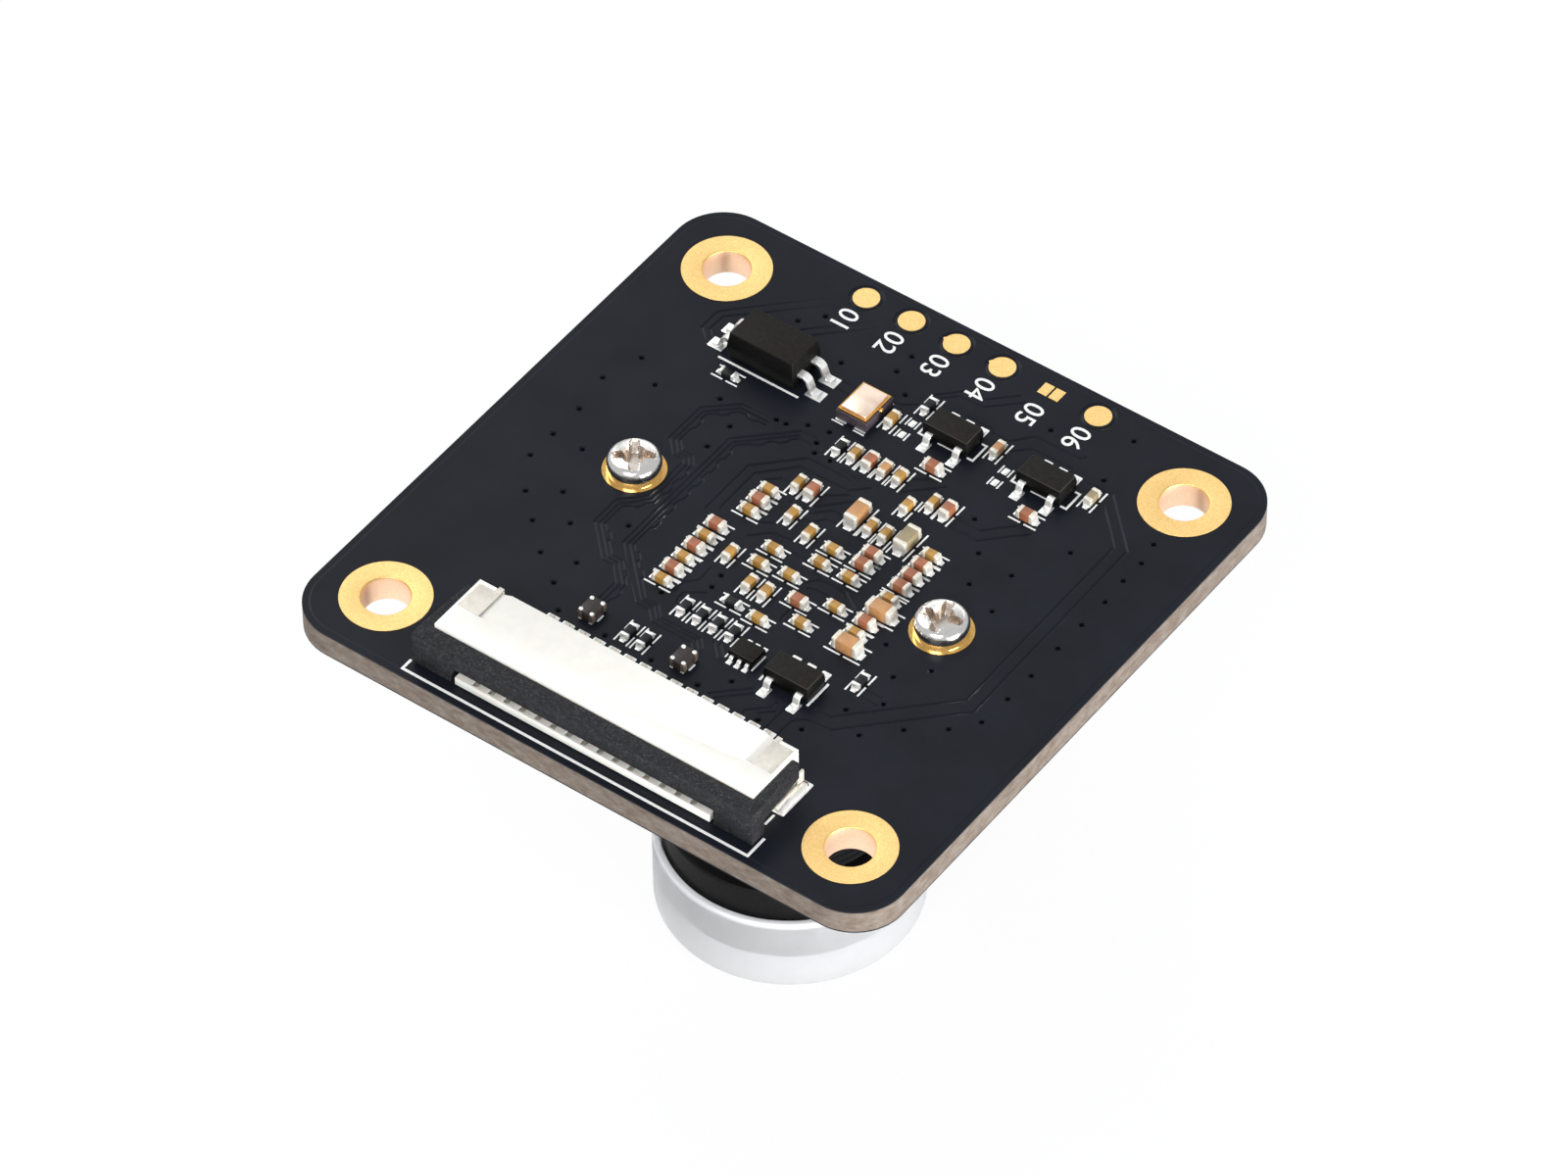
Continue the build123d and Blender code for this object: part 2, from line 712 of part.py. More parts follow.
def gull_lead(body_reach, span_reach, exit_height, width, thickness):
    # One bent lead along +X, from the package's side out and down to its foot
    knee = body_reach + lead_knee_share * (span_reach - body_reach)
    heel = body_reach + lead_heel_share * (span_reach - body_reach)
    with BuildPart() as lead:
        with BuildSketch(Plane.XZ):
            with BuildLine():
                Polyline(
                    (body_reach, board_top + exit_height),
                    (knee - thickness / 2, board_top + exit_height),
                    (heel - thickness / 2, board_top),
                    (span_reach, board_top),
                    (span_reach, board_top + thickness),
                    (heel + thickness / 2, board_top + thickness),
                    (knee + thickness / 2, board_top + exit_height + thickness),
                    (body_reach, board_top + exit_height + thickness),
                    close=True,
                )
            make_face()
        extrude(amount=width / 2, both=True)
    return lead.part


def lead_set(places, lead):
    # The same lead at each (x, y, turn)
    with BuildPart() as leads:
        with Locations([Location((x, y, 0), (0, 0, turn)) for x, y, turn in places]):
            add(lead)
    return leads


# Optocoupler, two leads out of each end
opto_body = moulded_body(opto_x, opto_y, opto_length, opto_width, opto_height)
opto_body.part.label = "optocoupler_body"
export_step(opto_body.part, "parts/optocoupler_body.step")

opto_lead = gull_lead(
    opto_length / 2,
    opto_span / 2,
    opto_height / 2 - opto_lead_thickness / 2,
    opto_lead_width,
    opto_lead_thickness,
)
opto_leads = lead_set(
    [(opto_x, opto_y + row * opto_pitch / 2, turn) for row in (-1, 1) for turn in (0, 180)], opto_lead
)
opto_leads.part.label = "optocoupler_leads"
export_step(opto_leads.part, "parts/optocoupler_leads.step")


# Oscillator: ceramic base, seal ring and metal lid
def oscillator_layer(inset, low, height):
    with BuildPart() as layer:
        with BuildSketch(top_plane(low)):
            with Locations((oscillator_x, oscillator_y)):
                Rectangle(oscillator_width - 2 * inset, oscillator_length - 2 * inset)
        extrude(amount=height)
    return layer


oscillator_base = oscillator_layer(0, 0, oscillator_base_height)
oscillator_base.part.label = "oscillator_base"
export_step(oscillator_base.part, "parts/oscillator_base.step")

seal_top = oscillator_base_height + oscillator_ring_height
oscillator_seal = oscillator_layer(oscillator_ring_inset, oscillator_base_height, oscillator_ring_height)
oscillator_seal.part.label = "oscillator_seal"
export_step(oscillator_seal.part, "parts/oscillator_seal.step")

oscillator_lid = oscillator_layer(oscillator_lid_inset, seal_top, oscillator_lid_height)
oscillator_lid.part.label = "oscillator_lid"
export_step(oscillator_lid.part, "parts/oscillator_lid.step")

# Regulators: three leads along the back, two along the front
regulators = {
    "left_regulator": (left_regulator_x, regulator_row_y),
    "right_regulator": (right_regulator_x, regulator_row_y),
    "front_regulator": (front_regulator_x, front_regulator_y),
}
regulator_lead = gull_lead(
    regulator_width / 2,
    regulator_span / 2,
    regulator_height / 2 - regulator_lead_thickness / 2,
    regulator_lead_width,
    regulator_lead_thickness,
)
for name, (x, y) in regulators.items():
    regulator_body = moulded_body(x, y, regulator_length, regulator_width, regulator_height)
    regulator_body.part.label = name + "_body"
    export_step(regulator_body.part, "parts/" + name + "_body.step")
    back_leads = [(x + step * regulator_pitch, y, 90) for step in (-1, 0, 1)]
    front_leads = [(x + step * regulator_pitch, y, -90) for step in (-1, 1)]
    regulator_leads = lead_set(back_leads + front_leads, regulator_lead)
    regulator_leads.part.label = name + "_leads"
    export_step(regulator_leads.part, "parts/" + name + "_leads.step")

# Level shifter: three flat leads on each long side
shifter_body = moulded_body(shifter_x, shifter_y, shifter_length, shifter_width, shifter_height)
shifter_body.part.label = "level_shifter_body"
export_step(shifter_body.part, "parts/level_shifter_body.step")

shifter_lead = gull_lead(
    shifter_width / 2, shifter_span / 2, shifter_lead_exit, shifter_lead_width, shifter_lead_thickness
)
shifter_leads = lead_set(
    [(shifter_x + step * shifter_pitch, shifter_y, turn) for step in (-1, 0, 1) for turn in (90, -90)],
    shifter_lead,
)
shifter_leads.part.label = "level_shifter_leads"
export_step(shifter_leads.part, "parts/level_shifter_leads.step")

# Common-mode filters: a ferrite block whose notched corners carry four terminals
chokes = {"left_filter": left_choke_x, "right_filter": right_choke_x}
for name, x in chokes.items():
    corner_step_x = choke_width - choke_terminal
    corner_step_y = choke_length - choke_terminal
    with BuildPart() as choke_body:
        with BuildSketch(top_plane()):
            with Locations((x, filter_row_y)):
                Rectangle(choke_width, choke_length)
                with GridLocations(corner_step_x, corner_step_y, 2, 2):
                    Rectangle(choke_terminal, choke_terminal, mode=Mode.SUBTRACT)
        extrude(amount=choke_height)
    choke_body.part.label = name + "_body"
    export_step(choke_body.part, "parts/" + name + "_body.step")
    with BuildPart() as choke_terminals:
        with BuildSketch(top_plane()):
            with Locations((x, filter_row_y)):
                with GridLocations(corner_step_x, corner_step_y, 2, 2):
                    Rectangle(choke_terminal, choke_terminal)
        extrude(amount=choke_height + terminal_skin)
    choke_terminals.part.label = name + "_terminals"
    export_step(choke_terminals.part, "parts/" + name + "_terminals.step")

# Places of the chips, as (x, y, turn): turn 0 lies along X and 90 along Y
def row(x, y, step, count):
    # A row of chips set side by side along X, each lying along Y
    return [(x + step * i, y, 90) for i in range(count)]


def column(x, y, step, count):
    # A column of chips stacked towards -Y, each lying along X
    return [(x, y - step * i, 0) for i in range(count)]


left_bank = column(-3.95, -0.9, 0.96, 6)
upper_left_bank = column(-3.2, 2.78, 0.9, 3)
right_bank = column(6.55, 3.91, 0.93, 4)
back_bank = row(-1.06, 7.6, 0.97, 4)

amber_places = (
    left_bank[1::2]
    + upper_left_bank[0::2]
    + right_bank[0:1]
    + back_bank[0:1]
    + back_bank[3:4]
    + [(6.55, 0.07, 0), (6.55, -2.95, 0)]
    + [(2.11, 1.24, 0), (2.11, 0.08, 0), (3.97, 0.09, 0)]
    + [(-0.48, -0.53, 0), (-0.48, -1.79, 0), (1.34, -1.57, 0)]
    + [(3.85, -4.0, 0), (4.64, -2.05, 0), (1.84, -5.05, 0)]
    + [(-2.2, 4.1, 90), (-1.15, 2.07, 90), (0.39, 1.5, 90)]
    + [(-2.15, -2.09, 90), (-0.02, -3.26, 90), (1.03, -3.26, 90)]
    + [(2.76, 3.75, 90), (3.72, 3.75, 90), (3.4, 6.11, 90), (4.41, 7.09, 90)]
    + [(-1.0, 10.85, 90)]
)
red_places = (
    left_bank[0::2]
    + upper_left_bank[1:2]
    + right_bank[1:4]
    + back_bank[1:2]
    + [(6.55, -2.02, 0), (3.97, 2.15, 0), (3.97, 1.26, 0), (2.79, -2.83, 0)]
    + [(2.84, 9.2, 0), (8.92, 9.2, 0), (-1.3, 4.1, 90), (5.34, 7.09, 90)]
)
tan_places = back_bank[2:3] + [(4.87, 12.3, 90)]
olive_places = [(10.95, 12.3, 90)]
large_tan_places = [(1.7, 4.0, 90), (6.8, -0.97, 0), (6.81, -3.95, 0)]
large_olive_places = [(4.9, 4.0, 90)]
resistor_places = (
    row(-1.8, -6.52, 1.05, 4)
    + [(-3.08, -9.66, 90), (-2.06, -9.66, 90), (8.75, -5.48, 90)]
    + [(-2.05, 7.6, 90), (0.0, 12.85, 90), (-10.1, 8.5, 0), (0.02, -4.86, 0)]
)


def chip_places(places):
    return Locations([Location((x, y, board_top), (0, 0, turn)) for x, y, turn in places])


def chip_body(size, terminal):
    # The ceramic block of one chip, a skin's thickness slimmer than its metal ends
    length, width, height = size
    with BuildPart() as block:
        Box(
            length - 2 * terminal,
            width - 2 * terminal_skin,
            height - 2 * terminal_skin,
            align=(Align.CENTER, Align.CENTER, Align.MIN),
        )
    return block.part.moved(Location((0, 0, terminal_skin)))


def chip_ends(size, terminal):
    # The two metal ends of one chip
    length, width, height = size
    with BuildPart() as ends:
        with GridLocations(length - terminal, 0, 2, 1):
            Box(terminal, width, height, align=(Align.CENTER, Align.CENTER, Align.MIN))
    return ends.part


capacitor_kinds = {
    "amber_capacitors": [(amber_places, small_chip, small_terminal)],
    "red_capacitors": [(red_places, medium_chip, small_terminal)],
    "tan_capacitors": [
        (tan_places, small_chip, small_terminal),
        (large_tan_places, large_chip, large_terminal),
    ],
    "olive_capacitors": [
        (olive_places, small_chip, small_terminal),
        (large_olive_places, large_chip, large_terminal),
    ],
}
for name, groups in capacitor_kinds.items():
    with BuildPart() as capacitors:
        for places, size, terminal in groups:
            with chip_places(places):
                add(chip_body(size, terminal))
    capacitors.part.label = name
    export_step(capacitors.part, "parts/" + name + ".step")

with BuildPart() as capacitor_terminals:
    for groups in capacitor_kinds.values():
        for places, size, terminal in groups:
            with chip_places(places):
                add(chip_ends(size, terminal))
capacitor_terminals.part.label = "capacitor_terminals"
export_step(capacitor_terminals.part, "parts/capacitor_terminals.step")

with BuildPart() as resistors:
    with chip_places(resistor_places):
        add(chip_body(resistor_chip, small_terminal))
resistors.part.label = "resistors"
export_step(resistors.part, "parts/resistors.step")

with BuildPart() as resistor_terminals:
    with chip_places(resistor_places):
        add(chip_ends(resistor_chip, small_terminal))
resistor_terminals.part.label = "resistor_terminals"
export_step(resistor_terminals.part, "parts/resistor_terminals.step")
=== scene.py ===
import math

import bmesh
import bpy
from mathutils import Matrix, Vector
from mathutils.geometry import delaunay_2d_cdt


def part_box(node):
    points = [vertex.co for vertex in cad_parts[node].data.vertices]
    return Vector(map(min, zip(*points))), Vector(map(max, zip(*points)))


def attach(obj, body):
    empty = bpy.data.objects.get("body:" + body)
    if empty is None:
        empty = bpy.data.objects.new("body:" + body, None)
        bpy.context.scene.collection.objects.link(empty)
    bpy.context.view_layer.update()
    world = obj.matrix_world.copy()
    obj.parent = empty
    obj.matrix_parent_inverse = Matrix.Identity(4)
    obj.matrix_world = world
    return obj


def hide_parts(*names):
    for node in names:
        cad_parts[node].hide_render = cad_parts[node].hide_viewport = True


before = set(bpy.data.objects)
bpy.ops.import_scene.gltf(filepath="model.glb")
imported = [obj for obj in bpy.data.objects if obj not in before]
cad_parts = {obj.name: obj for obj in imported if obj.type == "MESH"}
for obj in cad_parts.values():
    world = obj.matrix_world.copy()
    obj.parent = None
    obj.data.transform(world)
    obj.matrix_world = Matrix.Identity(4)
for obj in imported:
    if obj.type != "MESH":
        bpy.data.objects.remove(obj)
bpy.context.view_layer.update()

# Everything below is drawn in millimetres and scaled to metres when a piece is finished.
# Heights on the board count from its top face, x and y from its middle.
MM = 0.001


def node_box(node):
    # Lowest and highest corner of a CAD node, in millimetres
    low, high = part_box(node)
    return low / MM, high / MM


BOARD_LOW, BOARD_HIGH = node_box("circuit_board")
TOP = BOARD_HIGH.z
BOTTOM = BOARD_LOW.z


# Mesh helpers


def mesh_of(bm, name):
    mesh = bpy.data.meshes.new(name)
    bm.to_mesh(mesh)
    bm.free()
    return mesh


def in_scene(name, data):
    obj = bpy.data.objects.new(name, data)
    bpy.context.scene.collection.objects.link(obj)
    return obj


def piece(name, bm, body, materials, replaced=(), sharp=35.0):
    # Turns a mesh drawn in millimetres into a finished piece
    bmesh.ops.remove_doubles(bm, verts=bm.verts, dist=1e-5)
    bmesh.ops.recalc_face_normals(bm, faces=bm.faces)
    mesh = mesh_of(bm, name)
    mesh.transform(Matrix.Scale(MM, 4))
    for material in materials if isinstance(materials, (list, tuple)) else [materials]:
        mesh.materials.append(material)
    mesh.shade_smooth()
    mesh.set_sharp_from_angle(angle=math.radians(sharp))
    obj = in_scene(name, mesh)
    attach(obj, body)
    if replaced:
        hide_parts(*replaced)


def loft(bm, rings, ends=True, material=0):
    # Joins rings of equally many points, with the ends filled
    rows = [[bm.verts.new(p) for p in ring] for ring in rings]
    count = len(rows[0])
    faces = []
    for a, b in zip(rows, rows[1:]):
        for i in range(count):
            j = (i + 1) % count
            faces.append(bm.faces.new((a[i], a[j], b[j], b[i])))
    if ends:
        faces.append(bm.faces.new(rows[0][::-1]))
        faces.append(bm.faces.new(rows[-1]))
    for face in faces:
        face.material_index = material


def rounded_outline(x, y, width, length, radius, steps, turn=0.0):
    # Counter-clockwise corners of a rounded rectangle
    out = []
    for k, (sx, sy) in enumerate(((1, 1), (-1, 1), (-1, -1), (1, -1))):
        cx, cy = sx * (width / 2 - radius), sy * (length / 2 - radius)
        for i in range(steps + 1):
            a = math.radians(90 * k + 90 * i / steps)
            out.append(Vector((cx + radius * math.cos(a), cy + radius * math.sin(a))))
    c, s = math.cos(turn), math.sin(turn)
    return [Vector((x + c * p.x - s * p.y, y + s * p.x + c * p.y)) for p in out]


def ring_at(radius, z, x=0.0, y=0.0, steps=160):
    turns = [2 * math.pi * i / steps for i in range(steps)]
    return [(x + radius * math.cos(a), y + radius * math.sin(a), z) for a in turns]


def circle(x, y, radius, steps):
    return [Vector(p[:2]) for p in ring_at(radius, 0.0, x, y, steps)]


def offset(points, distance, closed=False):
    # Moves a line of points to its left, with mitred corners; a counter-clockwise outline shrinks
    out = []
    count = len(points)
    for i, point in enumerate(points):
        before = points[i - 1] if closed or i else None
        after = points[(i + 1) % count] if closed or i < count - 1 else None
        a = (point - before).normalized() if before else (after - point).normalized()
        b = (after - point).normalized() if after else a
        left_a, left_b = Vector((-a.y, a.x)), Vector((-b.y, b.x))
        middle = (left_a + left_b).normalized()
        out.append(point + middle * (distance / max(middle.dot(left_a), 0.4)))
    return out


def plate(bm, outline, low, high, edge):
    # A flat plate on the board between two heights, its top edge bevelled
    lines = (
        (outline, low),
        (outline, high - edge),
        (offset(outline, edge * 0.3, True), high - edge * 0.3),
        (offset(outline, edge, True), high),
    )
    loft(bm, [[(p.x, p.y, TOP + z) for p in line] for line, z in lines])


def ribbon(bm, points, width, low, high):
    # A stroke of even width along a line of points, with mitred corners
    points = [Vector(p) for p in points]
    sides = zip(offset(points, -width / 2), offset(points, width / 2))
    corners = [((a, low), (a, high), (b, high), (b, low)) for a, b in sides]
    loft(bm, [[(p.x, p.y, TOP + z) for p, z in ring] for ring in corners])


def box_mesh(size, radius, segments):
    # A block on the ground with all its edges rounded
    bm = bmesh.new()
    bmesh.ops.create_cube(bm, size=1.0)
    for v in bm.verts:
        v.co = Vector((v.co.x * size[0], v.co.y * size[1], (v.co.z + 0.5) * size[2]))
    bmesh.ops.bevel(bm, geom=bm.edges[:], offset=radius, segments=segments, profile=0.5, affect="EDGES")
    return mesh_of(bm, "stamp")


def stamp(bm, mesh, matrix):
    # Adds a copy of a mesh at a place
    first = len(bm.verts)
    bm.from_mesh(mesh)
    bm.verts.ensure_lookup_table()
    bmesh.ops.transform(bm, matrix=matrix, verts=bm.verts[first:])


def revolve(bm, profile, x=0.0, y=0.0, steps=160, material=0):
    # Turns a line of (radius, height) about a vertical axis; heights count from the floor
    loft(bm, [ring_at(r, z, x, y, steps) for r, z in profile], False, material)


def arc(cx, cz, radius, start, end, steps):
    turns = [math.radians(start + (end - start) * i / steps) for i in range(steps + 1)]
    return [(cx + radius * math.cos(a), cz + radius * math.sin(a)) for a in turns]


def node_mesh(node):
    # A copy of a CAD node's mesh in millimetres, welded
    bm = bmesh.new()
    bm.from_mesh(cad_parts[node].data)
    bmesh.ops.transform(bm, matrix=Matrix.Scale(1 / MM, 4), verts=bm.verts)
    bmesh.ops.remove_doubles(bm, verts=bm.verts, dist=1e-4)
    return bm


def islands(node):
    # (lowest corner, highest corner) in millimetres of each loose solid of a CAD node
    bm = node_mesh(node)
    seen, out = set(), []
    for start in bm.verts:
        if start in seen:
            continue
        seen.add(start)
        group = [start]
        for v in group:
            for e in v.link_edges:
                w = e.other_vert(v)
                if w not in seen:
                    seen.add(w)
                    group.append(w)
        out.append(tuple(Vector([pick(v.co[k] for v in group) for k in range(3)]) for pick in (min, max)))
    bm.free()
    return out


def on_board(x, y, turn=0.0, z=0.0):
    # Places a thing on the board's top face
    return Matrix.Translation((x, y, TOP + z)) @ Matrix.Rotation(turn, 4, "Z")


def bend(points, radius, steps=5):
    # Rounds the inner corners of a line of (reach, height) points
    out = [Vector(points[0])]
    for before, corner, after in zip(points, points[1:], points[2:]):
        corner = Vector(corner)
        a, b = Vector(before) - corner, Vector(after) - corner
        run = min(radius, a.length * 0.45, b.length * 0.45)
        start, end = corner + a.normalized() * run, corner + b.normalized() * run
        for i in range(steps + 1):
            t = i / steps
            out.append(start * (1 - t) ** 2 + corner * 2 * t * (1 - t) + end * t * t)
    out.append(Vector(points[-1]))
    return out


def strip(bm, path, width, thickness, matrix, edge=0.02):
    # A bent metal strip whose middle follows a line of (reach, height) points
    half, thick = width / 2, thickness / 2
    section = [(half - edge, -thick), (half, edge - thick), (half, thick - edge), (half - edge, thick)]
    section += [(-side, rise) for side, rise in section[::-1]]
    rings = []
    for i, point in enumerate(path):
        along = (path[min(i + 1, len(path) - 1)] - path[max(i - 1, 0)]).normalized()
        up = Vector((-along.y, along.x))
        spots = [(point + up * rise, side) for side, rise in section]
        rings.append([matrix @ Vector((spot.x, side, spot.y)) for spot, side in spots])
    loft(bm, rings)


def bent_leads(name, thickness, wider):
    # Smoothly bent leads of a package, each in the place of one lead of its CAD node
    low, high = node_box(name + "_body")
    middle, half = (low + high) / 2, (high - low) / 2
    bm = bmesh.new()
    for a, b in islands(name + "_leads"):
        centre = (a + b) / 2
        along_x = abs(centre.x - middle.x) > half.x
        k = 0 if along_x else 1
        sign = 1 if centre[k] > middle[k] else -1
        reach = max(abs(a[k] - middle[k]), abs(b[k] - middle[k]))
        run = reach - half[k]
        shoulder, foot = b.z - TOP - thickness / 2, thickness / 2 + PAD_HEIGHT
        corners = (
            (half[k] - 0.12, shoulder),
            (half[k] + 0.42 * run, shoulder),
            (half[k] + 0.66 * run, foot),
            (reach, foot),
        )
        turn = (0 if sign > 0 else math.pi) if along_x else sign * math.pi / 2
        place = (middle.x, centre.y) if along_x else (centre.x, middle.y)
        strip(bm, bend(corners, 0.3), (b - a)[1 - k] + wider, thickness, on_board(*place, turn))
    piece(name + "_leads_piece", bm, "board", TIN, (name + "_leads",), 30)


def settled(temp):
    # The final mesh of an object that is only there to make it
    graph = bpy.context.evaluated_depsgraph_get()
    mesh = bpy.data.meshes.new_from_object(temp.evaluated_get(graph))
    bpy.data.objects.remove(temp)
    return mesh


def rounded_copy(node, width, body, material, segments=2, angle=25.0, reshape=None):
    # Stands in for a CAD node with the same solids, their sharp edges softened
    bm = node_mesh(node)
    if reshape:
        for v in bm.verts:
            reshape(v.co)
    bmesh.ops.dissolve_limit(bm, angle_limit=math.radians(0.5), verts=bm.verts, edges=bm.edges)
    temp = in_scene("temp", mesh_of(bm, node + "_rounded"))
    bevel = temp.modifiers.new("edges", "BEVEL")
    bevel.width = width
    bevel.segments = segments
    bevel.limit_method = "ANGLE"
    bevel.angle_limit = math.radians(angle)
    bevel.use_clamp_overlap = True
    out = bmesh.new()
    out.from_mesh(settled(temp))
    piece(node + "_piece", out, body, material, (node,))


# Material helpers


def feed(tree, socket, value):
    # Links a socket, or sets its value
    if isinstance(value, bpy.types.NodeSocket):
        tree.links.new(value, socket)
    else:
        socket.default_value = value


class Shader:
    # A Principled material with object coordinates in millimetres at hand
    def __init__(self, name, **fixed):
        self.material = bpy.data.materials.new(name)
        self.material.use_nodes = True
        self.tree = self.material.node_tree
        self.bsdf = self.tree.nodes["Principled BSDF"]
        for key, value in fixed.items():
            self.bsdf.inputs[key.replace("_", " ")].default_value = value
        coords = self.add("ShaderNodeTexCoord")
        self.place = self.scaled(coords.outputs["Object"], (1000, 1000, 1000))

    def add(self, kind, **inputs):
        node = self.tree.nodes.new(kind)
        for key, value in inputs.items():
            feed(self.tree, node.inputs[key.replace("_", " ")], value)
        return node

    def to(self, key, value):
        self.tree.links.new(value, self.bsdf.inputs[key])

    def scaled(self, place, scale):
        return self.add("ShaderNodeMapping", Vector=place, Scale=scale).outputs["Vector"]

    def noise(self, scale, detail=3.0, rough=0.5, stretch=None):
        place = self.scaled(self.place, stretch) if stretch else self.place
        node = self.add("ShaderNodeTexNoise", Vector=place, Scale=scale, Detail=detail, Roughness=rough)
        return node.outputs["Fac"]

    def ramp(self, value, *stops):
        node = self.add("ShaderNodeValToRGB", Fac=value)
        elements = node.color_ramp.elements
        while len(elements) < len(stops):
            elements.new(0.5)
        for element, (at, colour) in zip(elements, stops):
            element.position = at
            element.color = (*colour, 1.0)
        return node.outputs["Color"]

    def span(self, value, low, high, start=0.3, end=0.7):
        ends = {"From Min": start, "From Max": end, "To Min": low, "To Max": high}
        return self.add("ShaderNodeMapRange", Value=value, **ends).outputs["Result"]

    def math(self, kind, *values):
        node = self.tree.nodes.new("ShaderNodeMath")
        node.operation = kind
        for socket, value in zip(node.inputs, values):
            feed(self.tree, socket, value)
        return node.outputs[0]

    def mix(self, fac, a, b):
        node = self.tree.nodes.new("ShaderNodeMix")
        node.data_type = "RGBA"
        for k, value in ((0, fac), (6, a), (7, b)):
            feed(self.tree, node.inputs[k], (*value, 1.0) if isinstance(value, tuple) else value)
        return node.outputs[2]

    def bump(self, height, depth):
        # depth in millimetres
        node = self.add("ShaderNodeBump", Height=height, Strength=1.0, Distance=depth * MM)
        self.to("Normal", node.outputs["Normal"])

    def height(self):
        # Millimetres above the floor
        return self.add("ShaderNodeSeparateXYZ", Vector=self.place).outputs["Z"]

    def facing(self):
        # 1 on faces that look up, -1 on those that look down
        normal = self.add("ShaderNodeNewGeometry").outputs["True Normal"]
        return self.add("ShaderNodeSeparateXYZ", Vector=normal).outputs["Z"]


def grained(name, dark, light, rough, grain=6.0, bump=0.004, bump_grain=24.0, metallic=0.0, **fixed):
    # A surface whose colour drifts between two tones, with a fine grain in its bump and gloss
    s = Shader(name, Metallic=metallic, **fixed)
    s.to("Base Color", s.ramp(s.noise(grain, 4.0, 0.6), (0.3, dark), (0.7, light)))
    s.to("Roughness", s.span(s.noise(grain * 1.7, 3.0), rough[0], rough[1]))
    s.bump(s.noise(bump_grain, 3.0, 0.6), bump)
    return s.material


# Materials

# Circuit board: semi-gloss black mask on both faces, woven glass and resin at the edges
s = Shader("solder_mask_board", Specular_IOR_Level=0.12)
on_face = s.math("GREATER_THAN", s.math("ABSOLUTE", s.facing()), 0.5)
height = s.height()
near_top = s.math("GREATER_THAN", height, TOP - 0.12)
near_bottom = s.math("LESS_THAN", height, BOTTOM + 0.09)
masked = s.math("MAXIMUM", on_face, s.math("MAXIMUM", near_top, near_bottom))
mask = s.ramp(s.noise(0.35, 2.0), (0.3, (0.0068, 0.0083, 0.0122)), (0.7, (0.0089, 0.0109, 0.016)))
layers = s.ramp(
    s.noise(1.6, 5.0, 0.7, stretch=(0.8, 0.8, 1.8)),
    (0.3, (0.108, 0.079, 0.061)), (0.5, (0.158, 0.127, 0.105)), (0.7, (0.205, 0.18, 0.152)),
)
sheen = s.ramp(s.noise(0.8, 3.0), (0.3, (0.30,) * 3), (0.7, (0.36,) * 3))
s.to("Base Color", s.mix(masked, layers, mask))
s.to("Roughness", s.mix(masked, (0.75, 0.75, 0.75), sheen))
s.bump(s.math("ADD", s.noise(1.2, 2.0), s.math("MULTIPLY", s.noise(14.0, 2.0), 0.25)), 0.004)
BOARD = s.material

# Near-black for the pits of the vias: painted shade of the holes
VIA_PAINTED_SHADE = grained("via_painted_shade", (0.0005, 0.0005, 0.0007), (0.0015, 0.0015, 0.002), (0.5, 0.7), 3.0, 0.004, 20.0,
                 Specular_IOR_Level=0.02)
SILK = grained("silkscreen_ink", (0.74, 0.74, 0.72), (0.84, 0.84, 0.83), (0.5, 0.65), 9.0, 0.006, 40.0)

# Gold plating, fine and speckled, pinker down the holes
s = Shader("gold_plating", Metallic=1.0)
speckle = s.ramp(
    s.noise(15.0, 6.0, 0.8),
    (0.36, (0.79, 0.49, 0.17)), (0.5, (0.93, 0.62, 0.24)), (0.62, (1.0, 0.76, 0.35)),
)
s.to("Base Color", speckle)
s.to("Roughness", s.span(s.noise(20.0, 4.0, 0.7), 0.38, 0.55))
s.bump(s.noise(22.0, 4.0, 0.75), 0.007)
GOLD = s.material

LINING = grained("hole_lining", (0.96, 0.62, 0.4), (1.0, 0.75, 0.54), (0.34, 0.5), 9.0, 0.006, 14.0, 0.75)
# Glossy gold, its colour darkened towards orange-brown: a painted dark reflection
POLISHED_GOLD_PAINTED_REFLECTION = grained("polished_gold_painted_reflection", (0.8, 0.44, 0.11), (0.9, 0.55, 0.18), (0.14, 0.22), 5.0, 0.001, 9.0, 1.0)
NICKEL = grained("nickel_plating", (0.8, 0.77, 0.72), (0.91, 0.885, 0.84), (0.1, 0.2), 3.0, 0.003, 7.0, 1.0)
RECESS = grained("nickel_recess", (0.56, 0.48, 0.41), (0.78, 0.71, 0.64), (0.2, 0.32), 3.0, 0.004, 8.0, 1.0)
TIN = grained("tin_plating", (0.82, 0.81, 0.78), (0.95, 0.945, 0.92), (0.26, 0.44), 7.0, 0.006, 16.0, 0.75)
SOLDER = grained("solder", (0.7, 0.68, 0.64), (0.92, 0.9, 0.87), (0.28, 0.38), 3.0, 0.003, 4.0, 0.6)
CHIP_ENDS = grained("chip_terminals", (0.62, 0.57, 0.48), (0.82, 0.78, 0.69), (0.3, 0.5), 8.0, 0.006, 22.0, 0.45)
# Contact metal darkened to a bronze-beige: partly the metal's tone, partly painted shade of the housing's grooves
CONTACT_METAL_AND_SHADE = grained("contact_metal_painted_shade", (0.44, 0.4, 0.34), (0.62, 0.57, 0.5), (0.35, 0.5), 4.0, 0.004, 20.0, 0.6)
TAB = grained("solder_tab_metal", (0.58, 0.54, 0.47), (0.68, 0.64, 0.57), (0.42, 0.55), 2.5, 0.004, 30.0, 0.25)
IVORY = grained("ivory_housing", (0.82, 0.795, 0.73), (0.87, 0.845, 0.785), (0.42, 0.55), 1.2, 0.003, 26.0,
                Subsurface_Weight=0.15, Subsurface_Scale=0.0004)
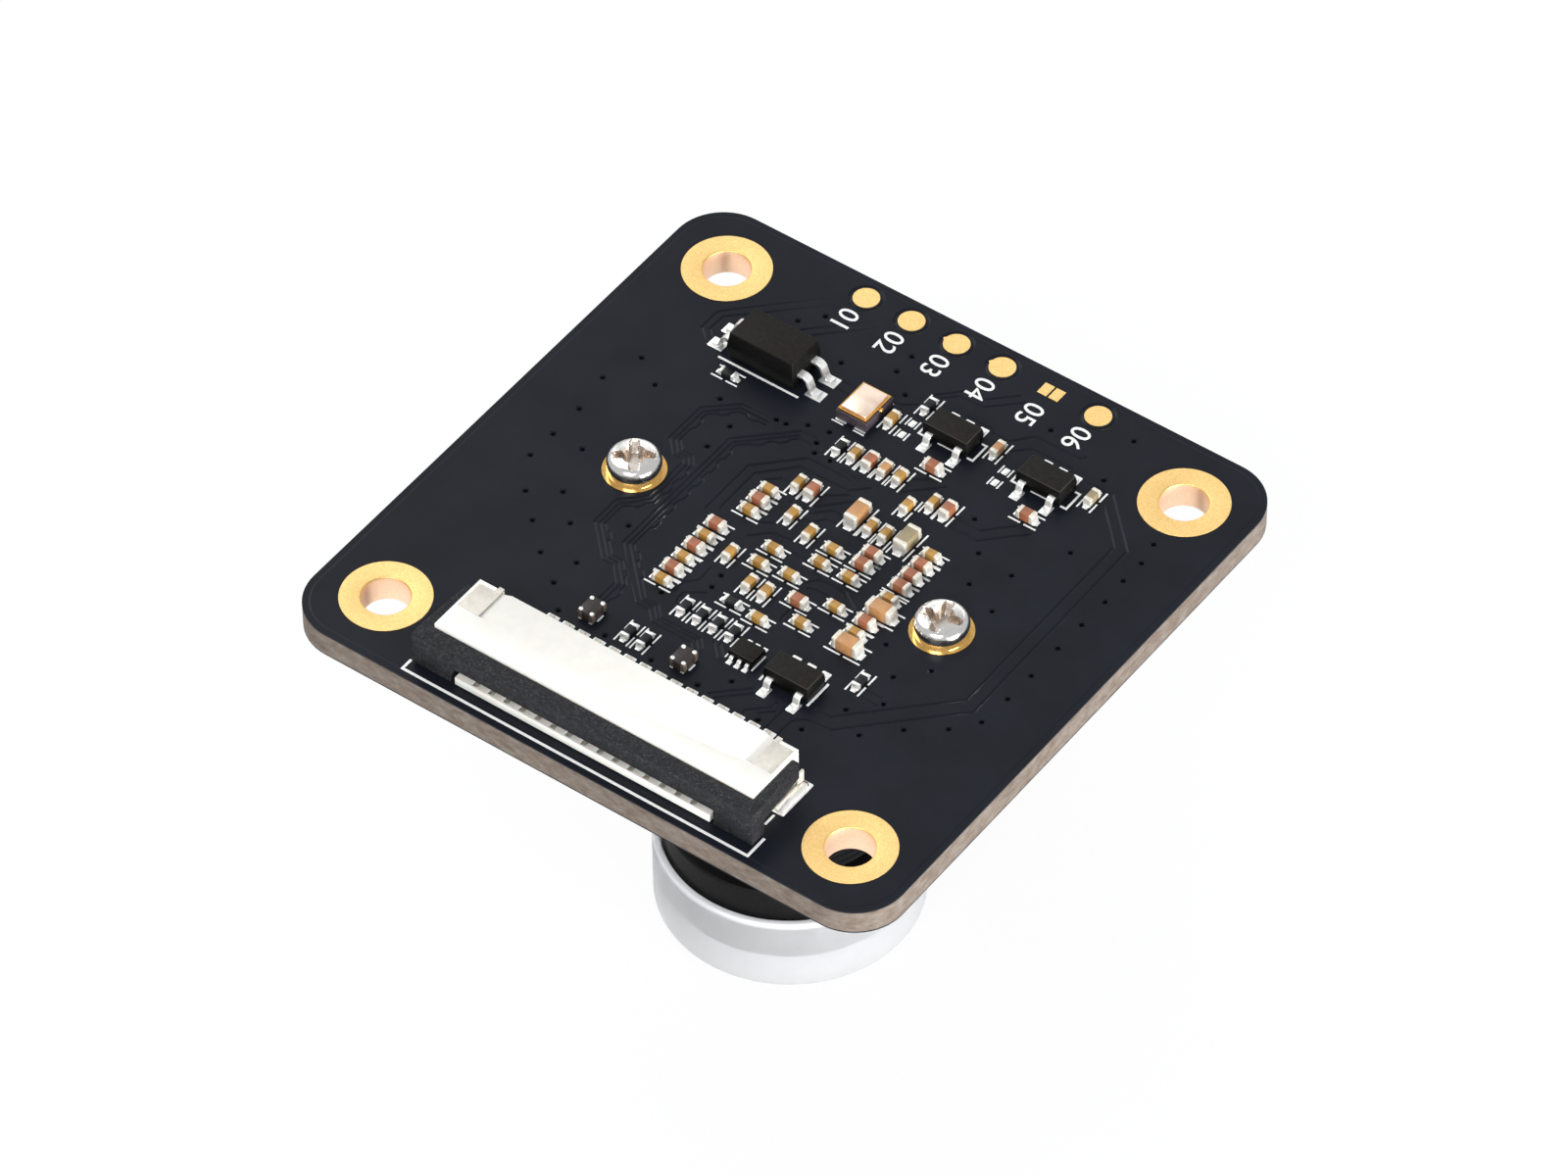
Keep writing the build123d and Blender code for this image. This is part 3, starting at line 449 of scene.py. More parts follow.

# Charcoal actuator: coarse speckle, pale rub marks streaked along its length
s = Shader("charcoal_actuator", Specular_IOR_Level=0.22)
base = s.ramp(
    s.noise(7.0, 6.0, 0.85),
    (0.38, (0.005, 0.005, 0.006)), (0.54, (0.016, 0.016, 0.0185)), (0.66, (0.072, 0.072, 0.077)),
)
streak = s.ramp(s.noise(2.2, 4.0, 0.7, stretch=(0.5, 9.0, 9.0)), (0.62, (0.0,) * 3), (0.78, (0.35,) * 3))
s.to("Base Color", s.mix(streak, base, (0.1, 0.1, 0.11)))
s.to("Roughness", s.span(s.noise(8.0, 3.0), 0.5, 0.7))
s.bump(s.noise(13.0, 5.0, 0.7), 0.014)
CHARCOAL = s.material


def moulded(name, dark, light, edge):
    # Chip packages: a matt top, a painted highlight on the bevelled edges and painted shade on the sides, picked by
    # which way each face looks
    s = Shader(name, Specular_IOR_Level=0.12)
    up = s.facing()
    top = s.ramp(s.noise(5.0, 4.0, 0.6), (0.3, dark), (0.7, light))
    # Near-black sides: painted shade
    sides = s.ramp(s.noise(5.0, 4.0, 0.6), (0.3, (0.0022, 0.002, 0.002)), (0.7, (0.005, 0.0045, 0.0042)))
    # Tilted faces between top and sides take the edge colour: a painted highlight
    painted_highlight_mask = s.math("GREATER_THAN", up, 0.35)
    is_top = s.math("GREATER_THAN", up, 0.98)
    s.to("Base Color", s.mix(is_top, s.mix(painted_highlight_mask, sides, edge), top))
    s.to("Roughness", s.span(s.noise(8.5, 3.0), 0.42, 0.58))
    s.bump(s.noise(24.0, 3.0, 0.6), 0.008)
    return s.material


# The last colour of each is the painted highlight on the bevels
PACKAGE = moulded("package_plastic", (0.0085, 0.007, 0.0055), (0.0165, 0.0138, 0.011), (0.03, 0.028, 0.025))
MOULDING = moulded("package_moulding", (0.0075, 0.0058, 0.0045), (0.0145, 0.012, 0.009), (0.009, 0.008, 0.0072))
FERRITE = grained("ferrite", (0.02, 0.015, 0.013), (0.036, 0.027, 0.023), (0.35, 0.5), 8.0, 0.006, 20.0,
                  Specular_IOR_Level=0.3)
BRONZE = grained("filter_terminal_bronze", (0.1, 0.078, 0.06), (0.22, 0.18, 0.15), (0.35, 0.5), 6.0, 0.004, 20.0, 0.6)
AMBER = grained("amber_ceramic", (0.32, 0.16, 0.026), (0.44, 0.24, 0.05), (0.3, 0.45), 1.1)
RED = grained("red_ceramic", (0.26, 0.085, 0.038), (0.38, 0.135, 0.062), (0.3, 0.45), 1.0)
TAN = grained("tan_ceramic", (0.42, 0.2, 0.075), (0.52, 0.27, 0.11), (0.3, 0.45), 1.0)
OLIVE = grained("olive_ceramic", (0.24, 0.19, 0.105), (0.33, 0.27, 0.16), (0.3, 0.45), 1.0)
RESISTOR = grained("resistor_film", (0.006, 0.006, 0.007), (0.012, 0.012, 0.013), (0.35, 0.5),
                   Specular_IOR_Level=0.25)
LID = grained("oscillator_lid", (0.86, 0.64, 0.49), (0.96, 0.79, 0.65), (0.26, 0.38), 1.5, 0.003, 12.0, 0.85)
BASE = grained("oscillator_ceramic", (0.03, 0.02, 0.03), (0.05, 0.035, 0.045), (0.5, 0.7), 5.0, 0.006, 24.0)
ANODISED = grained("black_anodised", (0.0025, 0.0022, 0.0025), (0.006, 0.0055, 0.006), (0.45, 0.58), 7.0,
                   Specular_IOR_Level=0.12)
HOLDER = grained("holder_plastic", (0.012, 0.012, 0.013), (0.024, 0.024, 0.026), (0.5, 0.68), 3.0, 0.01, 18.0)

# Frosted cap plastic, milkier at its rim
CAP_TOP = node_box("lens_cap")[1].z
CAP_CLEAR = 0.76
RIM_CLEAR = 0.35
s = Shader("frosted_cap", IOR=1.3, Specular_IOR_Level=0.3)
s.to("Base Color", s.ramp(s.noise(0.6, 3.0), (0.3, (0.815, 0.82, 0.832)), (0.7, (0.855, 0.858, 0.868))))
s.to("Roughness", s.span(s.noise(2.0, 3.0, 0.6), 0.28, 0.34))
s.to("Transmission Weight", s.span(s.height(), CAP_CLEAR, RIM_CLEAR, CAP_TOP - 0.45, CAP_TOP - 0.15))
s.bump(s.noise(1.2, 2.0, 0.5), 0.006)
FROST = s.material


def smooth(name, first, second, rough, drift=0.4, **fixed):
    # Glass and silicon: a tint that drifts between two tones
    s = Shader(name, **fixed)
    s.to("Base Color", s.ramp(s.noise(drift, 2.0), (0.3, first), (0.7, second)))
    s.to("Roughness", s.span(s.noise(2.0, 2.0), *rough))
    return s


s = smooth("coated_glass", (0.83, 0.88, 0.93), (0.9, 0.93, 0.9), (0.02, 0.05),
           Transmission_Weight=0.9, IOR=1.52, Coat_Weight=0.6)
s.to("Coat Tint", s.ramp(s.noise(0.5, 2.0), (0.3, (0.55, 0.75, 0.95)), (0.7, (0.75, 0.65, 0.95))))
GLASS = s.material
FILTER = smooth("filter_glass", (0.8, 0.55, 0.55), (0.7, 0.6, 0.75), (0.02, 0.06),
                Transmission_Weight=0.85, IOR=1.52).material
DIE = smooth("sensor_silicon", (0.04, 0.06, 0.09), (0.08, 0.05, 0.1), (0.12, 0.2), 0.5, Metallic=0.6).material
TRAY = grained("sensor_tray", (0.02, 0.02, 0.024), (0.035, 0.035, 0.04), (0.55, 0.7), 6.0, 0.006, 24.0)

CARRIED = {
    "screw_hole_plating": POLISHED_GOLD_PAINTED_REFLECTION,
    "test_pads": GOLD,
    "sensor_package": TRAY,
    "sensor_die": DIE,
    "sensor_glass": GLASS,
    "lens_holder": HOLDER,
    "infrared_filter": FILTER,
    "rear_retaining_ring": ANODISED,
    "front_element": GLASS,
    "middle_element": GLASS,
    "rear_element": GLASS,
    "front_spacer": ANODISED,
    "rear_spacer": ANODISED,
    "oscillator_seal": POLISHED_GOLD_PAINTED_REFLECTION,
    "connector_contacts": CONTACT_METAL_AND_SHADE,
}
for node, material in CARRIED.items():
    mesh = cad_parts[node].data
    mesh.materials.clear()
    mesh.materials.append(material)

# Circuit board: its top face carries the gaps that part the copper routes from the ground copper

GAP_WIDTH = 0.22
GAP_DEPTH = 0.045
PAIR_PITCH = 0.3
COPPER_MARGIN = 0.45
COPPER_STEP = 0.02
VIA_RADIUS = 0.22
VIA_HOLLOW = 0.13
VIA_DEPTH = 0.06
PLATING = 0.04
PAD_HEIGHT = 0.024
HOLES = [(x, y, 1.35) for x in (-15, 15) for y in (-15, 15)] + [(x, 0, 1.1) for x in (-10, 10)]

# Two pairs of routes, each by the gap in its middle: the left one and the one beside it
LEFT_PAIR = (
    (-6.3, 7.03), (-8.07, 7.03), (-9.58, 5.62), (-9.6, 3.05), (-8.93, 2.36), (-8.25, 2.36), (-7.93, 1.95),
    (-7.93, -1.25), (-9.13, -2.42), (-9.13, -4.2), (-7.35, -5.97), (-6.63, -5.97), (-5.57, -7.07), (-5.57, -8.9),
)
MIDDLE_PAIR = (
    (-3.5, 7.2), (-4.39, 7.2), (-6.95, 4.7), (-6.98, -4.52), (-4.05, -7.42), (-3.2, -7.42), (-2.6, -8.04),
    (0.02, -8.04), (0.45, -8.5),
)
# Single gaps, from the left edge of the board to its right edge
GAPS = (
    ((-8.44, 17.06), (-13.31, 12.25), (-13.44, 12.0), (-13.44, 10.6), (-12.8, 10.0)),
    ((-8.06, 16.69), (-11.9, 12.95), (-12.95, 12.0), (-13.0, 10.75), (-12.6, 10.35)),
    ((-5.38, 17.06), (-9.0, 13.6)),
    ((-5.06, 16.69), (-8.25, 13.6)),
    ((-5.25, -0.1), (-5.25, 3.79), (-3.14, 5.96), (-2.93, 6.04), (-0.29, 6.04)),
    ((-4.63, 0.4), (-4.64, 3.54), (-3.0, 5.29), (0.07, 5.34), (1.0, 6.2)),
    ((-3.96, 3.43), (-3.29, 4.04), (-2.71, 4.04)),
    ((-1.14, 6.36), (0.14, 6.36)),
    ((-0.75, 4.32), (-0.36, 4.57), (0.3, 5.1)),
    ((-0.57, 3.43), (0.75, 4.8)),
    ((-1.93, 2.9), (-0.43, 2.96), (0.29, 3.68), (0.95, 3.71)),
    ((-0.64, 2.29), (-0.14, 2.36), (0.4, 2.98), (1.34, 3.04)),
    ((-3.2, 0.7), (-2.2, 0.82), (-1.66, 1.2)),
    ((-2.24, -0.37), (-1.28, 0.57), (-0.12, 0.67)),
    ((0.18, -0.02), (1.3, -0.02)),
    ((-2.42, -3.4), (-2.42, -4.45), (-2.98, -5.04), (-3.02, -6.0)),
    ((-1.58, -5.0), (-2.5, -5.64), (-2.54, -6.04), (-2.36, -6.5)),
    ((2.26, -1.37), (2.65, -0.79), (3.18, -0.69), (4.3, -0.72), (5.45, -1.45)),
    ((2.53, -1.6), (2.88, -1.48), (3.88, -1.45)),
    ((2.72, -3.4), (2.72, -4.3)),
    ((0.85, -7.6), (1.65, -8.42), (2.0, -8.44)),
    ((1.2, -7.5), (1.8, -8.1), (2.0, -8.12)),
    ((4.43, -9.0), (2.79, -10.64)),
    ((4.75, -9.2), (3.2, -10.75)),
    ((6.01, -9.0), (6.01, -9.5), (5.03, -10.45), (5.03, -10.75)),
    ((6.34, -9.6), (5.68, -10.28)),
    ((6.62, -9.1), (6.62, -10.9)),
    ((2.4, 8.0), (3.3, 8.75)),
    ((2.5, 6.95), (4.15, 8.6)),
    ((-1.87, 12.06), (-1.37, 12.12), (-0.6, 12.69)),
    ((-0.31, 13.8), (0.8, 14.94), (2.05, 15.06), (3.4, 16.4)),
    ((0.12, 13.8), (0.75, 14.45), (2.35, 14.58), (4.0, 16.2)),
    ((-4.85, 11.75), (-4.1, 11.75)),
    ((-4.85, 11.12), (-4.1, 11.12)),
    ((2.0, 13.52), (3.8, 13.5)),
    ((3.8, 13.28), (4.9, 13.28), (5.8, 14.35), (7.0, 14.43), (8.6, 14.43), (8.9, 14.7)),
    ((5.4, 12.75), (6.25, 13.55), (8.8, 13.58)),
    ((6.0, 7.05), (7.43, 7.05), (8.8, 8.45)),
    ((6.0, 6.34), (7.68, 6.34), (9.8, 8.45)),
    ((9.1, -5.72), (10.3, -5.72)),
    ((9.1, -6.24), (10.4, -6.26)),
    ((11.4, 12.6), (13.84, 10.16), (13.88, -3.2), (8.84, -8.3), (7.95, -8.3)),
    ((10.05, 13.24), (11.6, 13.24), (14.58, 10.3), (14.66, -3.7), (9.38, -9.05), (7.95, -9.09), (7.4, -9.7),
     (7.4, -10.9)),
)
VIAS = (
    (-14.7, 6.9), (-12.9, 5.7), (-15.5, 4.5), (-9.45, 6.9), (-7.8, 5.55), (-7.9, 3.65), (-15.1, 1.9), (-15.1, -0.4),
    (-13.15, -0.4), (-15.15, -2.35), (-12.1, -3.5), (-7.8, -3.45), (-13.75, -4.6), (-10.4, -5.1), (-12.15, -6.1),
    (-8.4, -7.2), (-10.4, -7.7), (-8.5, -9.05), (-9.55, 14.05), (-8.55, 15.2), (-5.8, 12.85), (-3.0, 15.45),
    (-3.0, 14.05), (-1.6, 12.9), (-4.5, 8.05), (-3.25, 8.3), (-6.1, 7.4), (-5.5, 7.45), (-3.35, 7.25), (-3.0, 6.6),
    (-2.0, 6.6), (-1.7, -3.5), (-1.6, -4.45), (-3.5, -6.3), (10.25, 17.2), (6.2, 15.3), (10.6, 13.9), (15.4, 11.6),
    (15.65, 10.1), (12.2, 8.55), (15.6, 8.5), (15.7, 6.7), (10.65, 5.4), (8.3, 5.7), (6.7, 7.6), (15.65, 4.65),
    (9.2, 3.6), (11.3, 2.7), (15.6, 2.55), (15.6, 0.15), (15.55, -1.9), (11.2, -2.6), (8.2, -2.45), (15.4, -4.0),
    (9.85, -4.1), (14.3, -5.4), (12.45, -6.8), (10.8, -8.45), (8.15, -9.85), (10.55, -5.95), (9.2, -7.4),
    (3.25, -9.25), (-7.1, -10.5), (-4.05, -10.5), (-1.05, -10.5), (1.95, -10.5), (5.95, -10.64),
)
TEST_PADS = [(x, 17.57) for x in (-7.55, -4.55, -1.57, 1.43, 7.68)]


def winding(points, reach, period, start, end):
    # Adds bumps to the left of a line between two shares of its length
    points = [Vector(p) for p in points]
    lengths = [(b - a).length for a, b in zip(points, points[1:])]
    total = sum(lengths)
    out, done = [points[0]], 0.0
    for a, b, length in zip(points, points[1:], lengths):
        along = (b - a).normalized()
        left = Vector((-along.y, along.x))
        at = 0.35
        while at + period < length:
            if start <= (done + at) / total <= end:
                for share, bump in ((0.1, 0.0), (0.25, 1.0), (0.6, 1.0), (0.75, 0.0)):
                    out.append(a + along * (at + share * period) + left * reach * bump)
            at += period
        done += length
        out.append(b)
    return out


class Relief:
    # Lines that the board's top face is cut along, with the gaps and vias sunk into it
    def __init__(self):
        self.points, self.edges, self.depths = [], [], []

    def line(self, points, depth, closed=False):
        first = len(self.points)
        self.points += [Vector(p[:2]) for p in points]
        self.depths += [depth] * len(points)
        last = len(self.points) - 1
        self.edges += [(i, i + 1) for i in range(first, last)]
        if closed:
            self.edges.append((last, first))

    def gap(self, points, closed=False):
        points = [Vector(p) for p in points]
        half = GAP_WIDTH / 2
        self.line(points, GAP_DEPTH, closed)
        if closed:
            self.line(offset(points, half, True), 0.0, True)
            self.line(offset(points, -half, True), 0.0, True)
            return
        start = points[0] + (points[0] - points[1]).normalized() * half
        end = points[-1] + (points[-1] - points[-2]).normalized() * half
        self.line([start] + offset(points, half) + [end] + offset(points, -half)[::-1], 0.0, True)

    def via(self, x, y):
        self.line(circle(x, y, VIA_RADIUS, 14), 0.0, True)
        self.line(circle(x, y, VIA_HOLLOW, 10), VIA_DEPTH, True)


def board_top():
    # Vertices with their depths, and the triangles of the top face
    relief = Relief()
    width = BOARD_HIGH.x - BOARD_LOW.x
    relief.line(rounded_outline(0, 0, width, width, 3.0, 14), COPPER_STEP, True)
    for margin, depth in ((COPPER_MARGIN - 0.1, COPPER_STEP), (COPPER_MARGIN, 0.0)):
        side = width - 2 * margin
        relief.line(rounded_outline(0, 0, side, side, 3.0 - margin, 14), depth, True)
    for x, y, radius in HOLES:
        relief.line(circle(x, y, radius, 64), 0.0, True)
    for route, ends in ((LEFT_PAIR, (0.0, 1.0)), (MIDDLE_PAIR, (0.0, 0.72))):
        middle = [Vector(p) for p in route]
        relief.gap(middle)
        relief.gap(offset(middle, -PAIR_PITCH))
        relief.gap(winding(offset(middle, PAIR_PITCH - 0.05), 0.16, 1.25, *ends))
    for route in GAPS:
        relief.gap(route)
    for x, y in TEST_PADS:
        relief.gap(circle(x, y, 0.92, 40), True)
    for x, y in VIAS:
        relief.via(x, y)
    points, edges, faces, origins, *rest = delaunay_2d_cdt(relief.points, relief.edges, [], 1, 1e-5)
    depths = [max((relief.depths[k] for k in origin), default=0.0) for origin in origins]
    kept = []
    for face in faces:
        middle = sum((points[k] for k in face), Vector((0, 0))) / len(face)
        if all((middle - Vector((x, y))).length > radius * 0.998 for x, y, radius in HOLES):
            kept.append(face)
    return points, depths, kept


points, depths, faces = board_top()
bm = bmesh.new()
verts = [bm.verts.new((p.x, p.y, TOP - depth)) for p, depth in zip(points, depths)]
for face in faces:
    bm.faces.new([verts[k] for k in face])
bmesh.ops.delete(bm, geom=[v for v in verts if not v.link_faces], context="VERTS")
rim = [e for e in bm.edges if len(e.link_faces) == 1]
walls = bmesh.ops.extrude_edge_only(bm, edges=rim)["geom"]
for v in walls:
    if isinstance(v, bmesh.types.BMVert):
        v.co.z = BOTTOM
low_edges = [e for e in walls if isinstance(e, bmesh.types.BMEdge) and len(e.link_faces) == 1]
bmesh.ops.triangle_fill(bm, use_beauty=True, use_dissolve=False, edges=low_edges)
# Faces in the via pits take the near-black material: painted shade
for face in bm.faces:
    spot = face.calc_center_median()
    hollow = any(math.hypot(spot.x - x, spot.y - y) < VIA_HOLLOW for x, y in VIAS)
    face.material_index = 1 if hollow and spot.z > TOP - 0.2 else 0
piece("board", bm, "board", [BOARD, VIA_PAINTED_SHADE], ("circuit_board",), 9)

# Plated holes: a ring on each face and the lining between them

RING_RADIUS = 2.5
RING_EDGE = 0.1


def plated_hole(bm, x, y, bore):
    inner = bore - 0.03
    face, back = TOP + PLATING, BOTTOM - PLATING
    ring = (
        [(RING_RADIUS, TOP - 0.002), (RING_RADIUS, face - 0.01), (RING_RADIUS - 0.01, face)]
        + arc(inner + RING_EDGE, face - RING_EDGE, RING_EDGE, 90, 180, 5)
    )
    lining = [ring[-1]] + arc(inner + RING_EDGE, back + RING_EDGE, RING_EDGE, 180, 270, 5)
    rear = [
        lining[-1], (RING_RADIUS, back), (RING_RADIUS, BOTTOM + 0.002), (inner + 0.02, BOTTOM + 0.002),
        (inner + 0.02, TOP - 0.002), (RING_RADIUS, TOP - 0.002),
    ]
    for profile, material in ((ring, 0), (lining, 1), (rear, 0)):
        revolve(bm, profile, x, y, 96, material)


bm = bmesh.new()
for x, y, bore in HOLES[:4]:
    plated_hole(bm, x, y, bore)
piece("plated_holes", bm, "board", [GOLD, LINING], ("mounting_hole_plating",), 30)

# CAD forms with softened edges

# The photo shows the tab pockets a little wider than the CAD housing has them
POCKET_WALLS = ((8.3, 8.16), (8.65, 8.76), (10.0, 10.11))


def widen_pockets(place):
    for cad, shown in POCKET_WALLS:
        if abs(abs(place.x) - cad) < 0.01 and place.z > TOP + 2.2:
            place.x = math.copysign(shown, place.x)


rounded_copy("connector_housing", 0.035, "board", IVORY, reshape=widen_pockets)
rounded_copy("connector_actuator", 0.05, "actuator", CHARCOAL)
# Packages: name, rounding, material, and how thick and how much wider the leads are
for name, width, material, thickness, wider in (
    ("optocoupler", 0.05, MOULDING, 0.18, 0.1),
    ("left_regulator", 0.04, PACKAGE, 0.13, 0.0),
    ("right_regulator", 0.04, PACKAGE, 0.13, 0.0),
    ("front_regulator", 0.04, PACKAGE, 0.13, 0.0),
    ("level_shifter", 0.03, PACKAGE, 0.1, 0.0),
):
    rounded_copy(name + "_body", width, "board", material, angle=10)
    bent_leads(name, thickness, wider)
rounded_copy("oscillator_base", 0.03, "board", BASE)
rounded_copy("oscillator_lid", 0.06, "board", LID, 3)
for name in ("left", "right"):
    rounded_copy(name + "_filter_body", 0.03, "board", FERRITE)
    rounded_copy(name + "_filter_terminals", 0.05, "board", BRONZE)

# Solder tabs of the connector: plate in the pocket, back wall, foot with its upstand and solder

low, high = node_box("connector_housing")
SIDE, BACK, HOUSING_TOP = high.x, high.y, high.z
PLATE_INNER, STEM_OUTER = 8.8, 9.12
PLATE_LOW, PLATE_HIGH = HOUSING_TOP - 0.2, HOUSING_TOP - 0.04
FOOT_INNER, FOOT_OUTER, FOOT_HIGH = SIDE + 0.05, SIDE + 0.5, TOP + 0.15
WALL_FRONT, WALL_BACK = BACK + 0.05, BACK + 0.2
# Each block from one x, y and height to another, for the right-hand tab
TAB_BLOCKS = (
    ((PLATE_INNER, BACK - 2.13, PLATE_LOW), (SIDE - 0.16, BACK - 0.21, PLATE_HIGH)),
    ((PLATE_INNER, BACK - 0.25, PLATE_LOW), (STEM_OUTER, WALL_BACK, PLATE_HIGH)),
    ((PLATE_INNER, WALL_FRONT, TOP), (STEM_OUTER, WALL_BACK, HOUSING_TOP - 0.08)),
    ((PLATE_INNER, WALL_FRONT, TOP), (FOOT_OUTER, WALL_BACK, FOOT_HIGH)),
    ((FOOT_INNER, BACK - 2.25, TOP), (FOOT_OUTER, WALL_BACK, FOOT_HIGH)),
    ((FOOT_INNER, BACK - 0.3, TOP), (SIDE + 0.2, WALL_BACK, TOP + 0.95)),
)


def tab_ridge(bm, side):
    # Solder rises in a soft ridge along the foot
    rings = []
    for k in range(9):
        t = k / 8
        y = BACK - 2.3 + 2.2 * t
        rise = 0.2 + 0.12 * math.sin(math.pi * t) + 0.04 * math.sin(7 * t)
        rings.append([
            (side * (SIDE + 0.42 + 0.34 * math.cos(a)), y, TOP + PAD_HEIGHT + rise * math.sin(a))
            for a in (math.pi * i / 8 for i in range(9))
        ])
    loft(bm, rings)


bm = bmesh.new()
ridges = bmesh.new()
for side in (-1, 1):
    for near, far in TAB_BLOCKS:
        size = Vector(far) - Vector(near)
        middle = (Vector(near) + Vector(far)) / 2
        stamp(bm, box_mesh(size, 0.03, 2), Matrix.Translation((side * middle.x, middle.y, near[2])))
    tab_ridge(ridges, side)
piece("solder_tabs", bm, "board", TAB, ("connector_solder_tabs",))
piece("tab_solder", ridges, "board", SOLDER, (), 60)

# Screws

screw_boxes = sorted(islands("holder_screws"), key=lambda b: b[0].x)
SEAT = TOP + PLATING
HEAD_RADIUS = 1.5
HEAD_HEIGHT = screw_boxes[0][1].z - SEAT
DOME_FALL = 0.1
ROLL_START, ROLL_DEPTH = 1.12, 0.46
# The cross recess: its conical middle and its four tapered arms
RECESS_DEPTH = 0.7
CONE_RADIUS, CONE_SLOPE = 0.7, 0.3
ARM_HALF, ARM_TAPER, ARM_WALL = 0.31, 0.05, 0.08
ARM_REACH, ARM_RUNOUT = 1.16, 0.4
SCREW_STEPS = 192
# Rings of the head from its middle outwards, closer where it rolls over
HEAD_RINGS = (
    [0.05, 0.1] + [0.16 + 0.06 * i for i in range(18)]
    + [1.24, 1.29, 1.335, 1.37, 1.4, 1.425, 1.445, 1.46, 1.475, 1.487, 1.495, HEAD_RADIUS]
)
SHANK, ROOT = 0.95, 0.76


def head_height(r):
    # A low dome that rolls over into an upright rim
    edge = max(0.0, (r - ROLL_START) / (HEAD_RADIUS - ROLL_START))
    roll = 1 - math.sqrt(max(0.0, 1 - edge**2))
    return HEAD_HEIGHT - DOME_FALL * (r / HEAD_RADIUS) ** 2 - ROLL_DEPTH * roll


def recess(r, a, turn):
    # Depth of the cross recess at a radius and an angle
    deep = min(1.0, max(0.0, (CONE_RADIUS - r) / CONE_SLOPE))
    for k in range(4):
        b = a - math.radians(turn + 90 * k)
        along, across = r * math.cos(b), abs(r * math.sin(b))
        if along > -0.2:
            side = min(1.0, max(0.0, (ARM_HALF - ARM_TAPER * along - across) / ARM_WALL))
            deep = max(deep, side * min(1.0, max(0.0, (ARM_REACH - along) / ARM_RUNOUT)))
    return RECESS_DEPTH * deep


def screw(bm, cx, cy, point, turn):
    rows = []
    for r in HEAD_RINGS:
        line = ring_at(r, SEAT + head_height(r), cx, cy, SCREW_STEPS)
        depths = [recess(r, 2 * math.pi * i / SCREW_STEPS, turn) for i in range(SCREW_STEPS)]
        rows.append([bm.verts.new((x, y, z - depth)) for (x, y, z), depth in zip(line, depths)])
    hub = bm.verts.new((cx, cy, SEAT + head_height(0) - recess(0, 0, turn)))
    # Down the side, under the head, the shank and its thread, and the point
    profile = [(HEAD_RADIUS, SEAT + 0.08), (HEAD_RADIUS - 0.03, SEAT), (SHANK, SEAT)]
    z = TOP - 0.4
    while z > point + 0.5:
        profile += [(SHANK, z), (SHANK, z - 0.05), (ROOT, z - 0.22)]
        z -= 0.35
    profile += [(ROOT, point + 0.3), (0.55, point + 0.02), (0.5, point)]
    rows += [[bm.verts.new(p) for p in ring_at(r, z, cx, cy, SCREW_STEPS)] for r, z in profile]
    for i in range(SCREW_STEPS):
        j = (i + 1) % SCREW_STEPS
        bm.faces.new((hub, rows[0][i], rows[0][j]))
        for k, (a, b) in enumerate(zip(rows, rows[1:])):
            face = bm.faces.new((a[i], b[i], b[j], a[j]))
            middle = face.calc_center_median()
            surface = SEAT + head_height(math.hypot(middle.x - cx, middle.y - cy))
            face.material_index = 1 if k < len(HEAD_RINGS) - 1 and surface - middle.z > 0.03 else 0
    bm.faces.new(rows[-1])


bm = bmesh.new()
for (low, high), turn in zip(screw_boxes, (35.0, 12.0)):
    screw(bm, (low.x + high.x) / 2, (low.y + high.y) / 2, low.z, turn)
piece("screws", bm, "board", [NICKEL, RECESS], ("holder_screws",), 40)

# Lens cap

low, high = node_box("lens_cap")
CAP_OUTER = high.x
CAP_INNER, CAP_FLOOR = CAP_OUTER - 0.4, 0.8
CORNER, RIM, INNER_CORNER = 0.55, 0.12, 0.3
RIB_SIZE = (0.2, 0.5, 1.6)
RIB_START, RIB_TURN = 3.1, -41
bm = bmesh.new()
revolve(bm, (
    [(0.001, 0.0)]
    + arc(CAP_OUTER - CORNER, CORNER, CORNER, -90, 0, 8)
    + arc(CAP_OUTER - RIM, CAP_TOP - RIM, RIM, 0, 90, 4)
    + arc(CAP_INNER + RIM, CAP_TOP - RIM, RIM, 90, 180, 4)
    + arc(CAP_INNER - INNER_CORNER, CAP_FLOOR + INNER_CORNER, INNER_CORNER, 0, -90, 6)
    + [(0.001, CAP_FLOOR)]
), steps=240)
for k in range(4):
    a = math.radians(RIB_TURN + 90 * k)
    reach = CAP_INNER + 0.03
    place = Matrix.Translation((reach * math.cos(a), reach * math.sin(a), RIB_START)) @ Matrix.Rotation(a, 4, "Z")
    stamp(bm, box_mesh(RIB_SIZE, 0.06, 3), place)
piece("cap", bm, "cap", FROST, ("lens_cap",), 40)

# Lens barrel with its thread

low, high = node_box("lens_barrel")
FRONT, REAR = low.z, high.z
HEAD = high.x
HEAD_REAR = FRONT + 5.1
CELL = node_box("rear_retaining_ring")[1].x
LIP_BORE, LIP_DEPTH, LIP_CONE = 3.7, 1.2, 1.4
THREAD_ROOT, THREAD_HEIGHT, PITCH = 5.68, 0.27, 0.5
THREAD_RUNOUT = 5.66
ROWS_A_TURN = 8
BARREL_STEPS = 144
THREAD_ROWS = int((REAR - 0.57 - HEAD_REAR) / PITCH * ROWS_A_TURN)


def thread_ring(z):
    # One turn of a fine metric thread with rounded crest and root
    out = []
    for i in range(BARREL_STEPS):
        a, phase = 2 * math.pi * i / BARREL_STEPS, z / PITCH - i / BARREL_STEPS
        r = THREAD_ROOT + THREAD_HEIGHT * (0.5 + 0.5 * math.cos(2 * math.pi * phase)) ** 0.8
        out.append((r * math.cos(a), r * math.sin(a), z))
    return out


def barrel_rings(profile):
    return [ring_at(r, z, steps=BARREL_STEPS) for r, z in profile]


